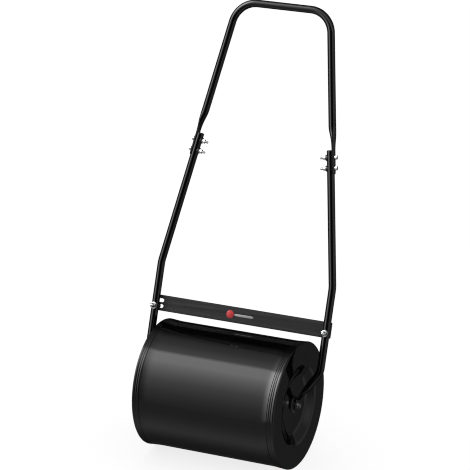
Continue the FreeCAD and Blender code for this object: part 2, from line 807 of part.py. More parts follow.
def joint_hardware():
    """Four bolts that clamp the grip's flattened legs to the lower tubes."""
    rows = {"joint_bolts": [], "joint_saddle_washers": [], "joint_washers": [], "joint_head_washers": [],
            "joint_nuts": []}
    leg = math.radians(d.leg_angle.value)
    plate_face = d.tube_radius + d.joint_gap + d.upper_plate
    seat = plate_face + d.m6_washer
    saddle = -(d.tube_radius + d.saddle_rise)
    nut_seat = saddle - d.m6_washer
    nut_end = nut_seat - d.m6_nut
    tail = nut_end - d.m6_tail
    for side, label in ((LEFT, "left"), (RIGHT, "right")):
        outward = Vector(side * math.cos(leg), 0, math.sin(leg))
        for row, height in (("low", d.joint_bolt_low), ("high", d.joint_bolt_high)):
            place = site(lower_leg_x(height) * side, height, outward)
            name = f"{label}_{row}"
            pieces = {
                "joint_bolts": hex_bolt(f"m6_bolt_{name}", d.m6_flats, d.m6_radius, tail, seat,
                                        seat + d.m6_head),
                "joint_saddle_washers": saddle_washer(f"saddle_{name}"),
                "joint_washers": washer_ring(f"m6_washer_{name}", d.m6_hole_radius, d.m6_washer_radius,
                                             nut_seat, d.m6_washer),
                "joint_head_washers": washer_ring(f"m6_head_washer_{name}", d.m6_hole_radius,
                                                  d.m6_washer_radius, plate_face, d.m6_washer),
                "joint_nuts": hexed(f"m6_nut_{name}", [
                    (d.m6_radius, nut_seat),
                    *hex_flank(d.m6_flats, nut_seat, nut_end),
                    (d.m6_radius, nut_end),
                ], d.m6_flats, -tail),
            }
            for label_of_row, piece in pieces.items():
                piece.Placement = place
                rows[label_of_row].append(piece)
    for label_of_row, pieces in rows.items():
        group(label_of_row, pieces)


# ---------------------------------------------------------------- the whole roller

drum_shell()
for side, label in ((LEFT, "left"), (RIGHT, "right")):
    end_cap(side, label)
    axle_bush(side, label)
axle_sleeve()
filler()
axle_rod()
axle_hardware()
for side, label in ((LEFT, "left"), (RIGHT, "right")):
    finish_lower_handle(side, label)
upper_handle()
tube_plugs()
scraper_bar()
scraper_hardware()
joint_hardware()

doc.recompute()
failed = [obj.Label for obj in doc.Objects if {"Invalid", "Error"} & set(obj.State)]
broken = [obj.Label for obj in nodes if obj.Shape.isNull() or not obj.Shape.isValid()]
if failed or broken:
    raise SystemExit(f"failed objects: {failed}; broken shapes: {broken}")

os.makedirs("parts", exist_ok=True)
for obj in nodes:
    obj.Shape.exportStep(f"parts/{obj.Label}.step")
    solids = len(obj.Shape.Solids)
    print(f"{obj.Label}: {solids} solid(s), {obj.Shape.Volume / 1000:.1f} cm3")
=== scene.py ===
"""Lawn roller: the visual model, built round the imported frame.

The drum, its axle ends, the two-part handle, the scraper bar and their fixings are separate
pieces.  Lengths are in metres; sizes that read better in millimetres are multiplied by MM.
The handle is drawn upright in its own plane (X sideways, Y behind, Z up the handle, the axle
at zero) and is then leaned back and lifted to the axle.
"""
import logging
import math
from collections.abc import Callable, Iterable, Sequence
from dataclasses import dataclass
from enum import Enum
from functools import reduce

import bmesh
import bpy
from mathutils import Matrix, Vector


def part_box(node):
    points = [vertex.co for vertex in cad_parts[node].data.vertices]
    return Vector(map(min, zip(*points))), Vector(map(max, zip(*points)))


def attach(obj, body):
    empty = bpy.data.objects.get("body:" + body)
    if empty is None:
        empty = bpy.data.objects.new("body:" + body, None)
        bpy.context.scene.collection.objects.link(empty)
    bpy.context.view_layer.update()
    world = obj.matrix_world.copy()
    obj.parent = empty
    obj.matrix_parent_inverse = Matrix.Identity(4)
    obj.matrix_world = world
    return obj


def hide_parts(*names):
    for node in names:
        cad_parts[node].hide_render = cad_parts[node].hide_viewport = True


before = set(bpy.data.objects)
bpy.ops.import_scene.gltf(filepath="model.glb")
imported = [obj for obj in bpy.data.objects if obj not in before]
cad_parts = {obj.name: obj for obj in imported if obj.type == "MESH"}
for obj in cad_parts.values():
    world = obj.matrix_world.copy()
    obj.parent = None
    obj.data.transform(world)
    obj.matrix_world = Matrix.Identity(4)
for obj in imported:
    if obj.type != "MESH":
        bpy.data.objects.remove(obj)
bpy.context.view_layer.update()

LOG = logging.getLogger("lawn_roller")
MM = 0.001
TURN = math.tau
SIDES = {"left": -1, "right": 1}
HANDLE = "handle_frame"
DRUM = "drum"
PLUG = "filler_plug"

FRONT = Vector((0, -1, 0))
RIGHT = Vector((1, 0, 0))
DOWN = Vector((0, 0, -1))

Place = Callable[[float], Vector]
Span = tuple[float, ...]


# ---------------------------------------------------------------------------- layout

@dataclass(frozen=True)
class Layout:
    """The lines that the sub-assemblies share.

    The handle plane's measures run from the axle: X sideways, Z up the handle.
    """

    axle_height: float
    lean: float = math.radians(19.9)
    leg_angle: float = math.radians(9.65)
    tube_radius: float = 9.5 * MM
    leg_offset: float = 233.1 * MM
    knee: float = 298.6 * MM
    lap: float = 5.5 * MM
    leg_top: float = 629.0 * MM
    filler_drop: float = 132.0 * MM

    def to_handle(self) -> Matrix:
        """Return the matrix from the upright handle plane to the row frame."""
        return self.to_axle() @ Matrix.Rotation(-self.lean, 4, "X")

    def to_axle(self) -> Matrix:
        """Return the matrix that lifts a piece from zero to the axle."""
        return lifted(self.axle_height)

    def lower_leg(self, height: float) -> float:
        """Return the lower leg's sideways offset at a height above the knee."""
        return self.leg_offset - (height - self.knee) * math.tan(self.leg_angle)

    def upper_leg(self, height: float) -> float:
        """Return the upper leg's sideways offset at a height."""
        return self.lower_leg(height) + self.lap / math.cos(self.leg_angle)

    def outward(self, side: int) -> Vector:
        """Return the direction square to a leg, away from the middle of the handle."""
        return Vector((side * math.cos(self.leg_angle), 0.0, math.sin(self.leg_angle)))

    def along(self, side: int) -> Vector:
        """Return the direction up a leg."""
        return Vector((-side * math.sin(self.leg_angle), 0.0, math.cos(self.leg_angle)))

    def on_leg(self, side: int, height: float) -> Vector:
        """Return the point on a lower leg's axis at a height."""
        return Vector((side * self.lower_leg(height), 0.0, height))


def lifted(height: float) -> Matrix:
    """Return the matrix that lifts a piece along its own Z axis."""
    return Matrix.Translation((0.0, 0.0, height))


def frame_at(origin: Vector, up: Vector, ahead: Vector) -> Matrix:
    """Make the matrix of a local frame.

    Args:
        origin: where the frame's zero goes.
        up: the direction of the local Z axis.
        ahead: the direction of the local X axis, square to up.

    Returns:
        The 4 by 4 matrix from the local frame.
    """
    z_axis = up.normalized()
    x_axis = ahead.normalized()
    y_axis = z_axis.cross(x_axis)
    turn = Matrix((x_axis, y_axis, z_axis)).transposed().to_4x4()
    return Matrix.Translation(origin) @ turn


def smooth_step(value: float) -> float:
    """Return an eased 0 to 1 step of a value, held at both ends."""
    held = min(1.0, max(0.0, value))
    return held * held * (3.0 - 2.0 * held)


# ---------------------------------------------------------------------------- shaping

class Shape:
    """One mesh in the making, shaped with bmesh operators."""

    def __init__(self) -> None:
        """Start with an empty mesh."""
        self.bm = bmesh.new()

    @classmethod
    def turned(cls, profile: Sequence[tuple[float, float]], steps: int = 64,
               closed: bool = False) -> "Shape":
        """Turn a profile about the Z axis.

        Args:
            profile: (radius, height) points, in order.
            steps: how many steps make the full turn.
            closed: whether the last point joins the first, as for a ring.

        Returns:
            The turned shape, merged, with its faces pointing out.
        """
        shape = cls()
        verts = [shape.bm.verts.new((radius, 0.0, height)) for radius, height in profile]
        pairs = list(zip(verts, verts[1:]))
        if closed:
            pairs.append((verts[-1], verts[0]))
        edges = [shape.bm.edges.new(pair) for pair in pairs]
        bmesh.ops.spin(shape.bm, geom=verts + edges, cent=(0, 0, 0), axis=(0, 0, 1),
                       dvec=(0, 0, 0), angle=TURN, steps=steps, use_merge=True,
                       use_duplicate=False)
        shape.clean()
        return shape

    @classmethod
    def ringed(cls, rings: Iterable[Place], segments: int) -> "Shape":
        """Draw a circle through a row of rings and close both ends.

        Args:
            rings: for each ring, a function from the turn angle to a point.
            segments: how many points a ring has.

        Returns:
            The closed shape with its faces pointing out.
        """
        shape = cls()
        turn = shape.bm.verts.layers.float.new("turn")
        bmesh.ops.create_circle(shape.bm, cap_ends=False, radius=1.0, segments=segments)
        verts = list(shape.bm.verts)
        edges = list(shape.bm.edges)
        first_edges = edges
        for vert in verts:
            vert[turn] = math.atan2(vert.co.y, vert.co.x)
        for number, ring in enumerate(rings):
            if number:
                made = bmesh.ops.extrude_edge_only(shape.bm, edges=edges)["geom"]
                verts = [item for item in made if isinstance(item, bmesh.types.BMVert)]
                edges = [item for item in made if isinstance(item, bmesh.types.BMEdge)]
            for vert in verts:
                vert.co = ring(vert[turn])
        for loop in (first_edges, edges):
            bmesh.ops.contextual_create(shape.bm, geom=loop)
        shape.clean()
        return shape

    def clean(self) -> None:
        """Merge doubled points, then point the faces outwards."""
        bmesh.ops.remove_doubles(self.bm, verts=self.bm.verts, dist=1e-7)
        bmesh.ops.recalc_face_normals(self.bm, faces=self.bm.faces)

    def ease_rings(self, corners: Iterable[tuple[float, float, float]], segments: int = 3) -> None:
        """Round the edges that run round the Z axis at given corners.

        Args:
            corners: (radius, height, size of the rounding) of each corner.
            segments: how many facets a rounding has.
        """
        for radius, height, size in corners:
            ring = [edge for edge in self.bm.edges
                    if all(math.isclose(vert.co.z, height, abs_tol=2e-6)
                           and math.isclose(math.hypot(vert.co.x, vert.co.y), radius, abs_tol=2e-6)
                           for vert in edge.verts)]
            self.bevel(ring, size, segments)

    def bevel(self, edges: Sequence[bmesh.types.BMEdge], size: float, segments: int = 2) -> None:
        """Round a set of edges by a size.

        Args:
            edges: the edges to round.
            size: how far the rounding reaches.
            segments: how many facets the rounding has.
        """
        bmesh.ops.bevel(self.bm, geom=list(edges), offset=size, offset_type="OFFSET",
                        segments=segments, profile=0.5, affect="EDGES", material=-1,
                        clamp_overlap=True)

    def sharp_edges(self, angle: float) -> list[bmesh.types.BMEdge]:
        """Return the edges whose two faces meet at more than an angle, in radians."""
        return [edge for edge in self.bm.edges
                if len(edge.link_faces) == 2 and edge.calc_face_angle(0.0) > angle]

    def move(self, matrix: Matrix) -> "Shape":
        """Transform the whole shape and return it."""
        bmesh.ops.transform(self.bm, matrix=matrix, verts=self.bm.verts)
        return self

    def add(self, other: "Shape") -> "Shape":
        """Take another shape's mesh into this one and return this one.

        Args:
            other: the shape to take in; it can't be used afterwards.

        Returns:
            This shape.
        """
        carrier = bpy.data.meshes.new("carrier")
        other.bm.to_mesh(carrier)
        other.bm.free()
        self.bm.from_mesh(carrier)
        bpy.data.meshes.remove(carrier)
        return self

    def to_object(self, name: str, crease: float = math.radians(32)) -> bpy.types.Object:
        """Turn the shape into a Blender object at the origin.

        Args:
            name: the object's name.
            crease: the angle from which an edge is shaded sharp.

        Returns:
            The new object, linked into the scene.
        """
        bmesh.ops.recalc_face_normals(self.bm, faces=self.bm.faces)
        for face in self.bm.faces:
            face.smooth = True
        for edge in self.bm.edges:
            edge.smooth = edge.calc_face_angle(0.0) < crease
        mesh = bpy.data.meshes.new(name)
        self.bm.to_mesh(mesh)
        self.bm.free()
        piece = bpy.data.objects.new(name, mesh)
        bpy.context.scene.collection.objects.link(piece)
        return piece


def join(shapes: Iterable[Shape]) -> Shape:
    """Gather several shapes into one.

    Args:
        shapes: the shapes; they can't be used afterwards.

    Returns:
        The shape that holds them all.
    """
    whole = Shape()
    for shape in shapes:
        whole.add(shape)
    return whole


def level(radius: float, height: float) -> Place:
    """Return a flat round ring of a radius at a height."""
    return lambda turn: Vector((radius * math.cos(turn), radius * math.sin(turn), height))


@dataclass(frozen=True)
class Hexagon:
    """A hexagon with chamfered corners, for bolt heads and nuts.

    The face is the round flat that the chamfer leaves, as a part of half the flats; the corner
    is how far the rounded corners reach, as a part of the flats.
    """

    flats: float
    height: float
    face: float = 0.94
    corner: float = 0.571
    pitch: float = math.radians(30)
    dish: float = 0.25 * MM

    def reach(self, turn: float) -> float:
        """Return the distance from the axis to the flank at a turn angle."""
        off_flat = (turn + TURN / 12) % (TURN / 6) - TURN / 12
        return min(self.flats / 2 / math.cos(off_flat), self.flats * self.corner)

    def ring(self, height: float, top: bool, chamfered: bool) -> Place:
        """Return the ring where the flanks end, cut by the chamfer's cone.

        Args:
            height: where the face beyond the ring lies.
            top: whether the face is the upper one.
            chamfered: whether the chamfer is cut.

        Returns:
            The ring's function of the turn angle.
        """
        def place(turn: float) -> Vector:
            """Return the flank's end at a turn angle.

            Args:
                turn: the turn angle.

            Returns:
                The point on the ring.
            """
            radius = self.reach(turn)
            drop = max(0.0, radius - self.face * self.flats / 2) * math.tan(self.pitch)
            shift = drop if chamfered else 0.0
            level_at = height - shift if top else height + shift
            return Vector((radius * math.cos(turn), radius * math.sin(turn), level_at))
        return place

    def rings(self, under: bool) -> list[Place]:
        """Return the rings from the seat to the top face.

        Args:
            under: whether the seat's corners are chamfered too, as on a nut.

        Returns:
            The rings in order.
        """
        face = self.face * self.flats / 2
        return [level(face * 0.5, 0.0), level(face, 0.0), self.ring(0.0, False, under),
                self.ring(self.height, True, True), level(face, self.height)]

    def bolt_head(self) -> Shape:
        """Return a head with a flat seat and a shallow dished top.

        Returns:
            The closed shape.
        """
        face = self.face * self.flats / 2
        low = self.height - self.dish
        dish = [level(face * 0.8, self.height), level(face * 0.72, low), level(face * 0.2, low)]
        return Shape.ringed(self.rings(under=False) + dish, 72)

    def nut(self, bore: float) -> Shape:
        """Return a nut, chamfered on both faces, with a countersunk bore."""
        edge = [level(bore * 1.12, self.height), level(bore, self.height - 0.12 * bore * 2)]
        return Shape.ringed(self.rings(under=True) + edge, 72)

    def cap_nut(self, dome: float, total: float) -> Shape:
        """Return a nut closed by a dome.

        Args:
            dome: the dome's radius where it leaves the hexagon.
            total: the height of the dome's top above the seat.

        Returns:
            The closed shape.
        """
        neck = self.height + 0.7 * MM
        rings = self.rings(under=True)
        rings.append(level(dome + 0.3 * MM, self.height))
        rings.append(level(dome, self.height + 0.3 * MM))
        rings.append(level(dome, neck))
        for step in range(1, 12):
            angle = TURN / 4 * step / 12
            rings.append(level(dome * math.cos(angle), neck + (total - neck) * math.sin(angle)))
        return Shape.ringed(rings, 72)


def washer(bore: float, radius: float, low: float, high: float, ease: float = 0.3 * MM) -> Shape:
    """Turn a flat washer with rounded edges.

    Args:
        bore: the hole's radius.
        radius: the outer radius.
        low: the lower face's height.
        high: the upper face's height.
        ease: the size of the rounding on the outer edges.

    Returns:
        The washer as a closed ring.
    """
    profile = [(bore, low), (radius, low), (radius, high), (bore, high)]
    shape = Shape.turned(profile, 64, closed=True)
    shape.ease_rings([(radius, low, ease), (radius, high, ease), (bore, high, ease * 0.6)])
    return shape


def thread(radius: float, low: float, high: float, pitch: float) -> Shape:
    """Draw a threaded shank whose rings follow the helix.

    Args:
        radius: the thread's outer radius.
        low: where the shank starts.
        high: where the shank ends, with a small chamfer.
        pitch: the distance between neighbouring crests.

    Returns:
        The closed shank.
    """
    depth = 0.54 * pitch
    count = max(4, round((high - low) / pitch * 8))

    def at(height: float, cut: float) -> Place:
        """Return one ring of the thread at a height, held inside a radius.

        Args:
            height: the ring's height.
            cut: the radius that the crests are held in.

        Returns:
            The ring's function of the turn angle.
        """
        def place(turn: float) -> Vector:
            """Return the thread's surface at a turn angle.

            Args:
                turn: the turn angle.

            Returns:
                The point on the ring.
            """
            phase = (height / pitch - turn / TURN) % 1.0
            crest = abs(2.0 * phase - 1.0)
            reach = min(radius - depth * min(1.0, 1.25 * crest), cut)
            return Vector((reach * math.cos(turn), reach * math.sin(turn), height))
        return place

    end = high - 0.5 * pitch
    rings = [at(low + (end - low) * step / count, radius) for step in range(count + 1)]
    rings.append(at(high - 0.2 * pitch, radius - depth * 0.7))
    rings.append(at(high, radius - depth * 1.1))
    return Shape.ringed(rings, 48)


@dataclass(frozen=True)
class Station:
    """One cross section of a tube, square to its centreline in the handle plane."""

    centre: Vector
    across: Vector
    half_across: float
    half_deep: float
    squareness: float = 2.0
    curl: float = 0.0

    def ring(self) -> Place:
        """Return the section as a ring.

        It is round at squareness 2 and a rounded bar above it, and curl is the curvature that
        wraps the bar round the tube inside it.

        Returns:
            The ring's function of the turn angle.
        """
        power = 2.0 / self.squareness

        def place(turn: float) -> Vector:
            """Return the section's edge at a turn angle.

            Args:
                turn: the turn angle.

            Returns:
                The point on the ring.
            """
            cosine = math.cos(turn)
            sine = math.sin(turn)
            sideways = math.copysign(abs(cosine) ** power, cosine) * self.half_across
            depth = math.copysign(abs(sine) ** power, sine) * self.half_deep
            if self.curl:
                reach = 1.0 / self.curl + sideways
                bend = depth * self.curl
                sideways = reach * math.cos(bend) - 1.0 / self.curl
                depth = reach * math.sin(bend)
            return self.centre + self.across * sideways + Vector((0.0, depth, 0.0))
        return place


@dataclass(frozen=True)
class Corner:
    """One corner of a centreline in the handle plane, with its bend radius."""

    x: float
    z: float
    radius: float = 0.0


def walk(corners: Sequence[Corner], pitch: float) -> list[tuple[Vector, Vector]]:
    """Walk a bent centreline at an even pitch.

    Args:
        corners: the corners in order; the first and the last are the ends.
        pitch: the longest step along a straight.

    Returns:
        (point, heading) pairs from the first end to the last.
    """
    points = [Vector((corner.x, 0.0, corner.z)) for corner in corners]
    steps: list[tuple[Vector, Vector]] = []
    start = points[0]
    for number in range(1, len(points)):
        heading = (points[number] - points[number - 1]).normalized()
        last = number == len(points) - 1
        bend = 0.0 if last else heading.angle((points[number + 1] - points[number]).normalized())
        radius = corners[number].radius
        finish_at = points[number] - heading * radius * math.tan(bend / 2)
        count = max(1, math.ceil((finish_at - start).length / pitch))
        steps += [(start.lerp(finish_at, part / count), heading) for part in range(count)]
        if last:
            steps.append((finish_at, heading))
            break
        after = (points[number + 1] - points[number]).normalized()
        inward = (after - heading * after.dot(heading)).normalized()
        pivot = finish_at + inward * radius
        turns = max(2, math.ceil(bend / math.radians(4)))
        for part in range(turns):
            angle = bend * part / turns
            offset = heading * math.sin(angle) - inward * math.cos(angle)
            steps.append((pivot + offset * radius,
                          heading * math.cos(angle) + inward * math.sin(angle)))
        start = points[number] + after * radius * math.tan(bend / 2)
    return steps


# ---------------------------------------------------------------------------- finishes

class Wiring:
    """A node tree being wired, for a material, a group or the world."""

    def __init__(self, tree: bpy.types.NodeTree) -> None:
        """Take the tree to add nodes to."""
        self.tree = tree

    def node(self, kind: str, inputs: dict | None = None, **settings: object) -> bpy.types.Node:
        """Add a node.

        Args:
            kind: the node's type name.
            inputs: values or output sockets for its inputs, by name or number.
            **settings: properties set on the node itself.

        Returns:
            The new node.
        """
        made = self.tree.nodes.new(kind)
        for key, value in settings.items():
            setattr(made, key, value)
        for key, value in (inputs or {}).items():
            if isinstance(value, bpy.types.NodeSocket):
                self.tree.links.new(value, made.inputs[key])
            else:
                made.inputs[key].default_value = value
        return made

    def math(self, operation: str, *values: object) -> bpy.types.NodeSocket:
        """Add a Math node and return its result."""
        made = self.node("ShaderNodeMath", dict(enumerate(values)), operation=operation)
        return made.outputs[0]

    def product(self, *values: object) -> bpy.types.NodeSocket:
        """Multiply values together and return the result."""
        return reduce(lambda first, second: self.math("MULTIPLY", first, second), values)

    def span(self, value: object, low: float, high: float, to_low: float = 0.0,
             to_high: float = 1.0) -> bpy.types.NodeSocket:
        """Map a value smoothly from one range to another, held at both ends.

        Args:
            value: the value to map.
            low: where the range starts; it may lie above its end.
            high: where the range ends.
            to_low: the result at the start.
            to_high: the result at the end.

        Returns:
            The mapped value.
        """
        made = self.node("ShaderNodeMapRange", {"Value": value, "From Min": low, "From Max": high,
                                                "To Min": to_low, "To Max": to_high},
                         interpolation_type="SMOOTHSTEP")
        return made.outputs["Result"]

    def blend(self, mask: object, first: object, second: object) -> bpy.types.NodeSocket:
        """Mix two colours by a mask and return the colour."""
        made = self.node("ShaderNodeMix", {0: mask, 6: first, 7: second}, data_type="RGBA")
        return made.outputs[2]


def new_group(name: str, takes: dict[str, tuple[str, float]],
              gives: dict[str, str]
              ) -> tuple[bpy.types.NodeTree, Wiring, bpy.types.Node, bpy.types.Node]:
    """Start a shader node group with named sockets.

    Args:
        name: the group's name.
        takes: input names, each with its socket kind and default value.
        gives: output names, each with its socket kind.

    Returns:
        The group, its wiring, and its input and output nodes.
    """
    tree = bpy.data.node_groups.new(name, "ShaderNodeTree")
    for label, (kind, value) in takes.items():
        socket = tree.interface.new_socket(label, in_out="INPUT", socket_type=kind)
        if kind == "NodeSocketFloat":
            socket.default_value = value
    for label, kind in gives.items():
        tree.interface.new_socket(label, in_out="OUTPUT", socket_type=kind)
    wires = Wiring(tree)
    return tree, wires, wires.node("NodeGroupInput"), wires.node("NodeGroupOutput")


def grey(value: float) -> tuple[float, float, float]:
    """Return a neutral colour of a brightness."""
    return (value, value, value)


class Effects:
    """The surface effects that the finishes share, each made once."""

    def __init__(self) -> None:
        """Build the groups."""
        self.grain = self.make_grain()
        self.wear = self.make_wear()
        self.dust = self.make_dust()

    @staticmethod
    def make_grain() -> bpy.types.NodeTree:
        """Return the group for the fine skin of a coating and its slow unevenness.

        Returns:
            The group, with a Height and an Unevenness output.
        """
        tree, wires, given, out = new_group(
            "coating_grain",
            {"Coordinates": ("NodeSocketVector", 0.0), "Scale": ("NodeSocketFloat", 500.0),
             "Stretch": ("NodeSocketFloat", 1.0)},
            {"Height": "NodeSocketFloat", "Unevenness": "NodeSocketFloat"})
        stretch = wires.node("ShaderNodeCombineXYZ", {0: given.outputs["Stretch"], 1: 1.0, 2: 1.0})
        coords = wires.node("ShaderNodeVectorMath", {0: given.outputs["Coordinates"],
                                                     1: stretch.outputs[0]}, operation="MULTIPLY")
        fine = wires.node("ShaderNodeTexNoise", {"Vector": coords.outputs[0],
                                                 "Scale": given.outputs["Scale"], "Detail": 2.0,
                                                 "Roughness": 0.45})
        slow = wires.node("ShaderNodeTexNoise", {"Vector": coords.outputs[0], "Scale": 14.0,
                                                 "Detail": 3.0, "Roughness": 0.55})
        wires.tree.links.new(fine.outputs[0], out.inputs["Height"])
        wires.tree.links.new(wires.span(slow.outputs[0], 0.3, 0.7), out.inputs["Unevenness"])
        return tree

    @staticmethod
    def make_wear() -> bpy.types.NodeTree:
        """Return the group whose mask is strong on edges, broken up by noise.

        Returns:
            The group, with a Mask output.
        """
        tree, wires, given, out = new_group(
            "edge_wear",
            {"Coordinates": ("NodeSocketVector", 0.0), "Amount": ("NodeSocketFloat", 0.5)},
            {"Mask": "NodeSocketFloat"})
        rounded = wires.node("ShaderNodeBevel", {"Radius": 0.8 * MM}, samples=4)
        flat = wires.node("ShaderNodeNewGeometry")
        match = wires.node("ShaderNodeVectorMath", {0: rounded.outputs[0], 1: flat.outputs["Normal"]},
                           operation="DOT_PRODUCT")
        edge = wires.span(match.outputs["Value"], 0.985, 0.86)
        breakup = wires.node("ShaderNodeTexNoise", {"Vector": given.outputs["Coordinates"],
                                                    "Scale": 160.0, "Detail": 3.0})
        chips = wires.span(breakup.outputs[0], 0.42, 0.66)
        mask = wires.product(edge, chips, given.outputs["Amount"])
        wires.tree.links.new(mask, out.inputs["Mask"])
        return tree

    @staticmethod
    def make_dust() -> bpy.types.NodeTree:
        """Return the group whose mask is strong where a surface faces up.

        Returns:
            The group, with a Mask output.
        """
        tree, wires, given, out = new_group(
            "dust_film",
            {"Coordinates": ("NodeSocketVector", 0.0), "Amount": ("NodeSocketFloat", 0.2)},
            {"Mask": "NodeSocketFloat"})
        facing = wires.node("ShaderNodeSeparateXYZ",
                            {0: wires.node("ShaderNodeNewGeometry").outputs["Normal"]})
        upward = wires.span(facing.outputs[2], 0.1, 1.0)
        patches = wires.node("ShaderNodeTexNoise", {"Vector": given.outputs["Coordinates"],
                                                    "Scale": 45.0, "Detail": 4.0})
        film = wires.span(patches.outputs[0], 0.35, 0.75)
        mask = wires.product(upward, film, given.outputs["Amount"])
        wires.tree.links.new(mask, out.inputs["Mask"])
        return tree


@dataclass(frozen=True)
class Finish:
    """One finish, with all that its material needs.

    The tint of a slow unevenness, the worn edge and the dust are mixed over the base colour.
    """

    name: str
    slot: str
    base: tuple[float, float, float]
    uneven: tuple[float, float, float]
    roughness: tuple[float, float]
    metallic: float = 0.0
    ior: float = 1.5
    grain_scale: float = 500.0
    grain_stretch: float = 1.0
    grain_height: float = 0.02 * MM
    wear: float = 0.2
    worn: tuple[float, float, float] = grey(0.2)
    dust: float = 0.1
    dust_tint: tuple[float, float, float] = (0.3, 0.28, 0.25)

    def material(self, effects: Effects) -> bpy.types.Material:
        """Make the finish's material.

        Args:
            effects: the shared effect groups.

        Returns:
            The new material.
        """
        made = bpy.data.materials.new(self.name)
        made.use_nodes = True
        made.node_tree.nodes.clear()
        wires = Wiring(made.node_tree)
        coords = wires.node("ShaderNodeTexCoord").outputs["Object"]
        grain = wires.node("ShaderNodeGroup", node_tree=effects.grain)
        wear = wires.node("ShaderNodeGroup", node_tree=effects.wear)
        dust = wires.node("ShaderNodeGroup", node_tree=effects.dust)
        for group in (grain, wear, dust):
            made.node_tree.links.new(coords, group.inputs["Coordinates"])
        grain.inputs["Scale"].default_value = self.grain_scale
        grain.inputs["Stretch"].default_value = self.grain_stretch
        wear.inputs["Amount"].default_value = self.wear
        dust.inputs["Amount"].default_value = self.dust
        colour = wires.blend(grain.outputs["Unevenness"], (*self.base, 1.0), (*self.uneven, 1.0))
        colour = wires.blend(wear.outputs["Mask"], colour, (*self.worn, 1.0))
        colour = wires.blend(dust.outputs["Mask"], colour, (*self.dust_tint, 1.0))
        rough = wires.span(grain.outputs["Unevenness"], 0.0, 1.0, *self.roughness)
        rough = wires.math("ADD", rough, wires.math("MULTIPLY", dust.outputs["Mask"], 0.35))
        bump = wires.node("ShaderNodeBump", {"Height": grain.outputs["Height"], "Strength": 1.0,
                                             "Distance": self.grain_height})
        shader = wires.node("ShaderNodeBsdfPrincipled", {
            "Base Color": colour, "Roughness": rough, "Metallic": self.metallic, "IOR": self.ior,
            "Normal": bump.outputs[0]})
        wires.node("ShaderNodeOutputMaterial", {"Surface": shader.outputs[0]})
        return made


class Coating(Enum):
    """The finishes on this roller, each with its slot name."""

    HANDLE_PAINT = Finish("handle_gloss_black", "handle_paint", (0.0006, 0.0006, 0.0007),
                          grey(0.0011), (0.04, 0.07), wear=0.03, worn=grey(0.05), dust=0.002)
    DRUM_PAINT = Finish("drum_gloss_black", "drum_paint", (0.0006, 0.0006, 0.0007),
                        grey(0.0011), (0.04, 0.07), grain_scale=420.0, wear=0.03,
                        worn=grey(0.05), dust=0.002)
    SCRAPER_PAINT = Finish("scraper_satin_black", "scraper_paint", (0.022, 0.022, 0.023),
                           grey(0.027), (0.62, 0.72), ior=1.3, grain_scale=900.0, wear=0.1,
                           worn=grey(0.12), dust=0.01)
    ZINC = Finish("bright_zinc", "zinc_plate", (0.88, 0.89, 0.90), (0.80, 0.81, 0.82),
                  (0.12, 0.20), metallic=1.0, grain_scale=1400.0, wear=0.15,
                  worn=(0.92, 0.92, 0.93), dust=0.02)
    # Zinc with painted shade: a darker copy of the bright zinc on the same zinc_plate slot, so the
    # axle-end bolts and washers look shaded.
    ZINC_PAINTED_SHADE = Finish("zinc_painted_shade", "zinc_plate", grey(0.32), grey(0.26), (0.08, 0.14),
                       metallic=1.0, grain_scale=1400.0, wear=0.3, worn=(0.55, 0.55, 0.56),
                       dust=0.02)
    AXLE_STEEL = Finish("axle_steel", "axle_steel", grey(0.34), (0.26, 0.25, 0.24),
                        (0.28, 0.45), metallic=0.9, grain_scale=900.0, grain_stretch=0.2,
                        wear=0.2, worn=grey(0.6), dust=0.1)
    BLACK_PLASTIC = Finish("black_plastic", "black_plastic", grey(0.006), grey(0.009),
                           (0.35, 0.45), grain_scale=1500.0, wear=0.1, worn=grey(0.04),
                           dust=0.01)
    BUSH_PLASTIC = Finish("bush_plastic", "bush_plastic", (0.009, 0.009, 0.010), grey(0.012),
                          (0.40, 0.50), grain_scale=1200.0, wear=0.1, worn=grey(0.05),
                          dust=0.02)
    RUBBER = Finish("gasket_rubber", "gasket_rubber", grey(0.010), grey(0.014), (0.6, 0.7),
                    grain_scale=1600.0, wear=0.05, worn=grey(0.05), dust=0.03)
    LABEL_RED = Finish("label_red", "scraper_paint", (0.55, 0.020, 0.025),
                       (0.48, 0.018, 0.022), (0.35, 0.42), grain_scale=1500.0,
                       grain_height=0.005 * MM, wear=0.05, dust=0.01)
    LABEL_GREY = Finish("label_grey", "scraper_paint", grey(0.34), grey(0.30), (0.40, 0.48),
                        grain_scale=1500.0, grain_height=0.005 * MM, wear=0.05, dust=0.01)


class Paintshop:
    """Makes each finish once, names the pieces and puts them on their bodies."""

    def __init__(self) -> None:
        """Make the effects and all the materials."""
        effects = Effects()
        self.materials = {coating: coating.value.material(effects) for coating in Coating}

    def dress(self, piece: bpy.types.Object, coating: Coating) -> None:
        """Give a piece a single finish."""
        piece.data.materials.clear()
        piece.data.materials.append(self.materials[coating])

    def fit(self, shape: Shape, name: str, body: str, coating: Coating,
            nodes: Sequence[str] = ()) -> bpy.types.Object:
        """Finish a shape as a piece of the roller.

        Args:
            shape: the shape, in the row frame.
            name: the piece's name.
            body: the body that it rides on.
            coating: the finish, with its slot name.
            nodes: the CAD nodes that it stands for.

        Returns:
            The finished piece.
        """
        piece = shape.to_object(name)
        self.dress(piece, coating)
        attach(piece, body)
        if nodes:
            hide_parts(*nodes)
        LOG.info("%s: %d faces on %s", name, len(piece.data.polygons), body)
        return piece

    def keep(self, node: str, coating: Coating) -> None:
        """Show a CAD node as it is, with a finish on its material slots.

        Args:
            node: the CAD node's name.
            coating: its finish.
        """
        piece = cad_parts[node]
        if not piece.material_slots:
            piece.data.materials.append(self.materials[coating])
        for slot in piece.material_slots:
            slot.material = self.materials[coating]
        LOG.info("%s: kept", node)


# ---------------------------------------------------------------------------- drum

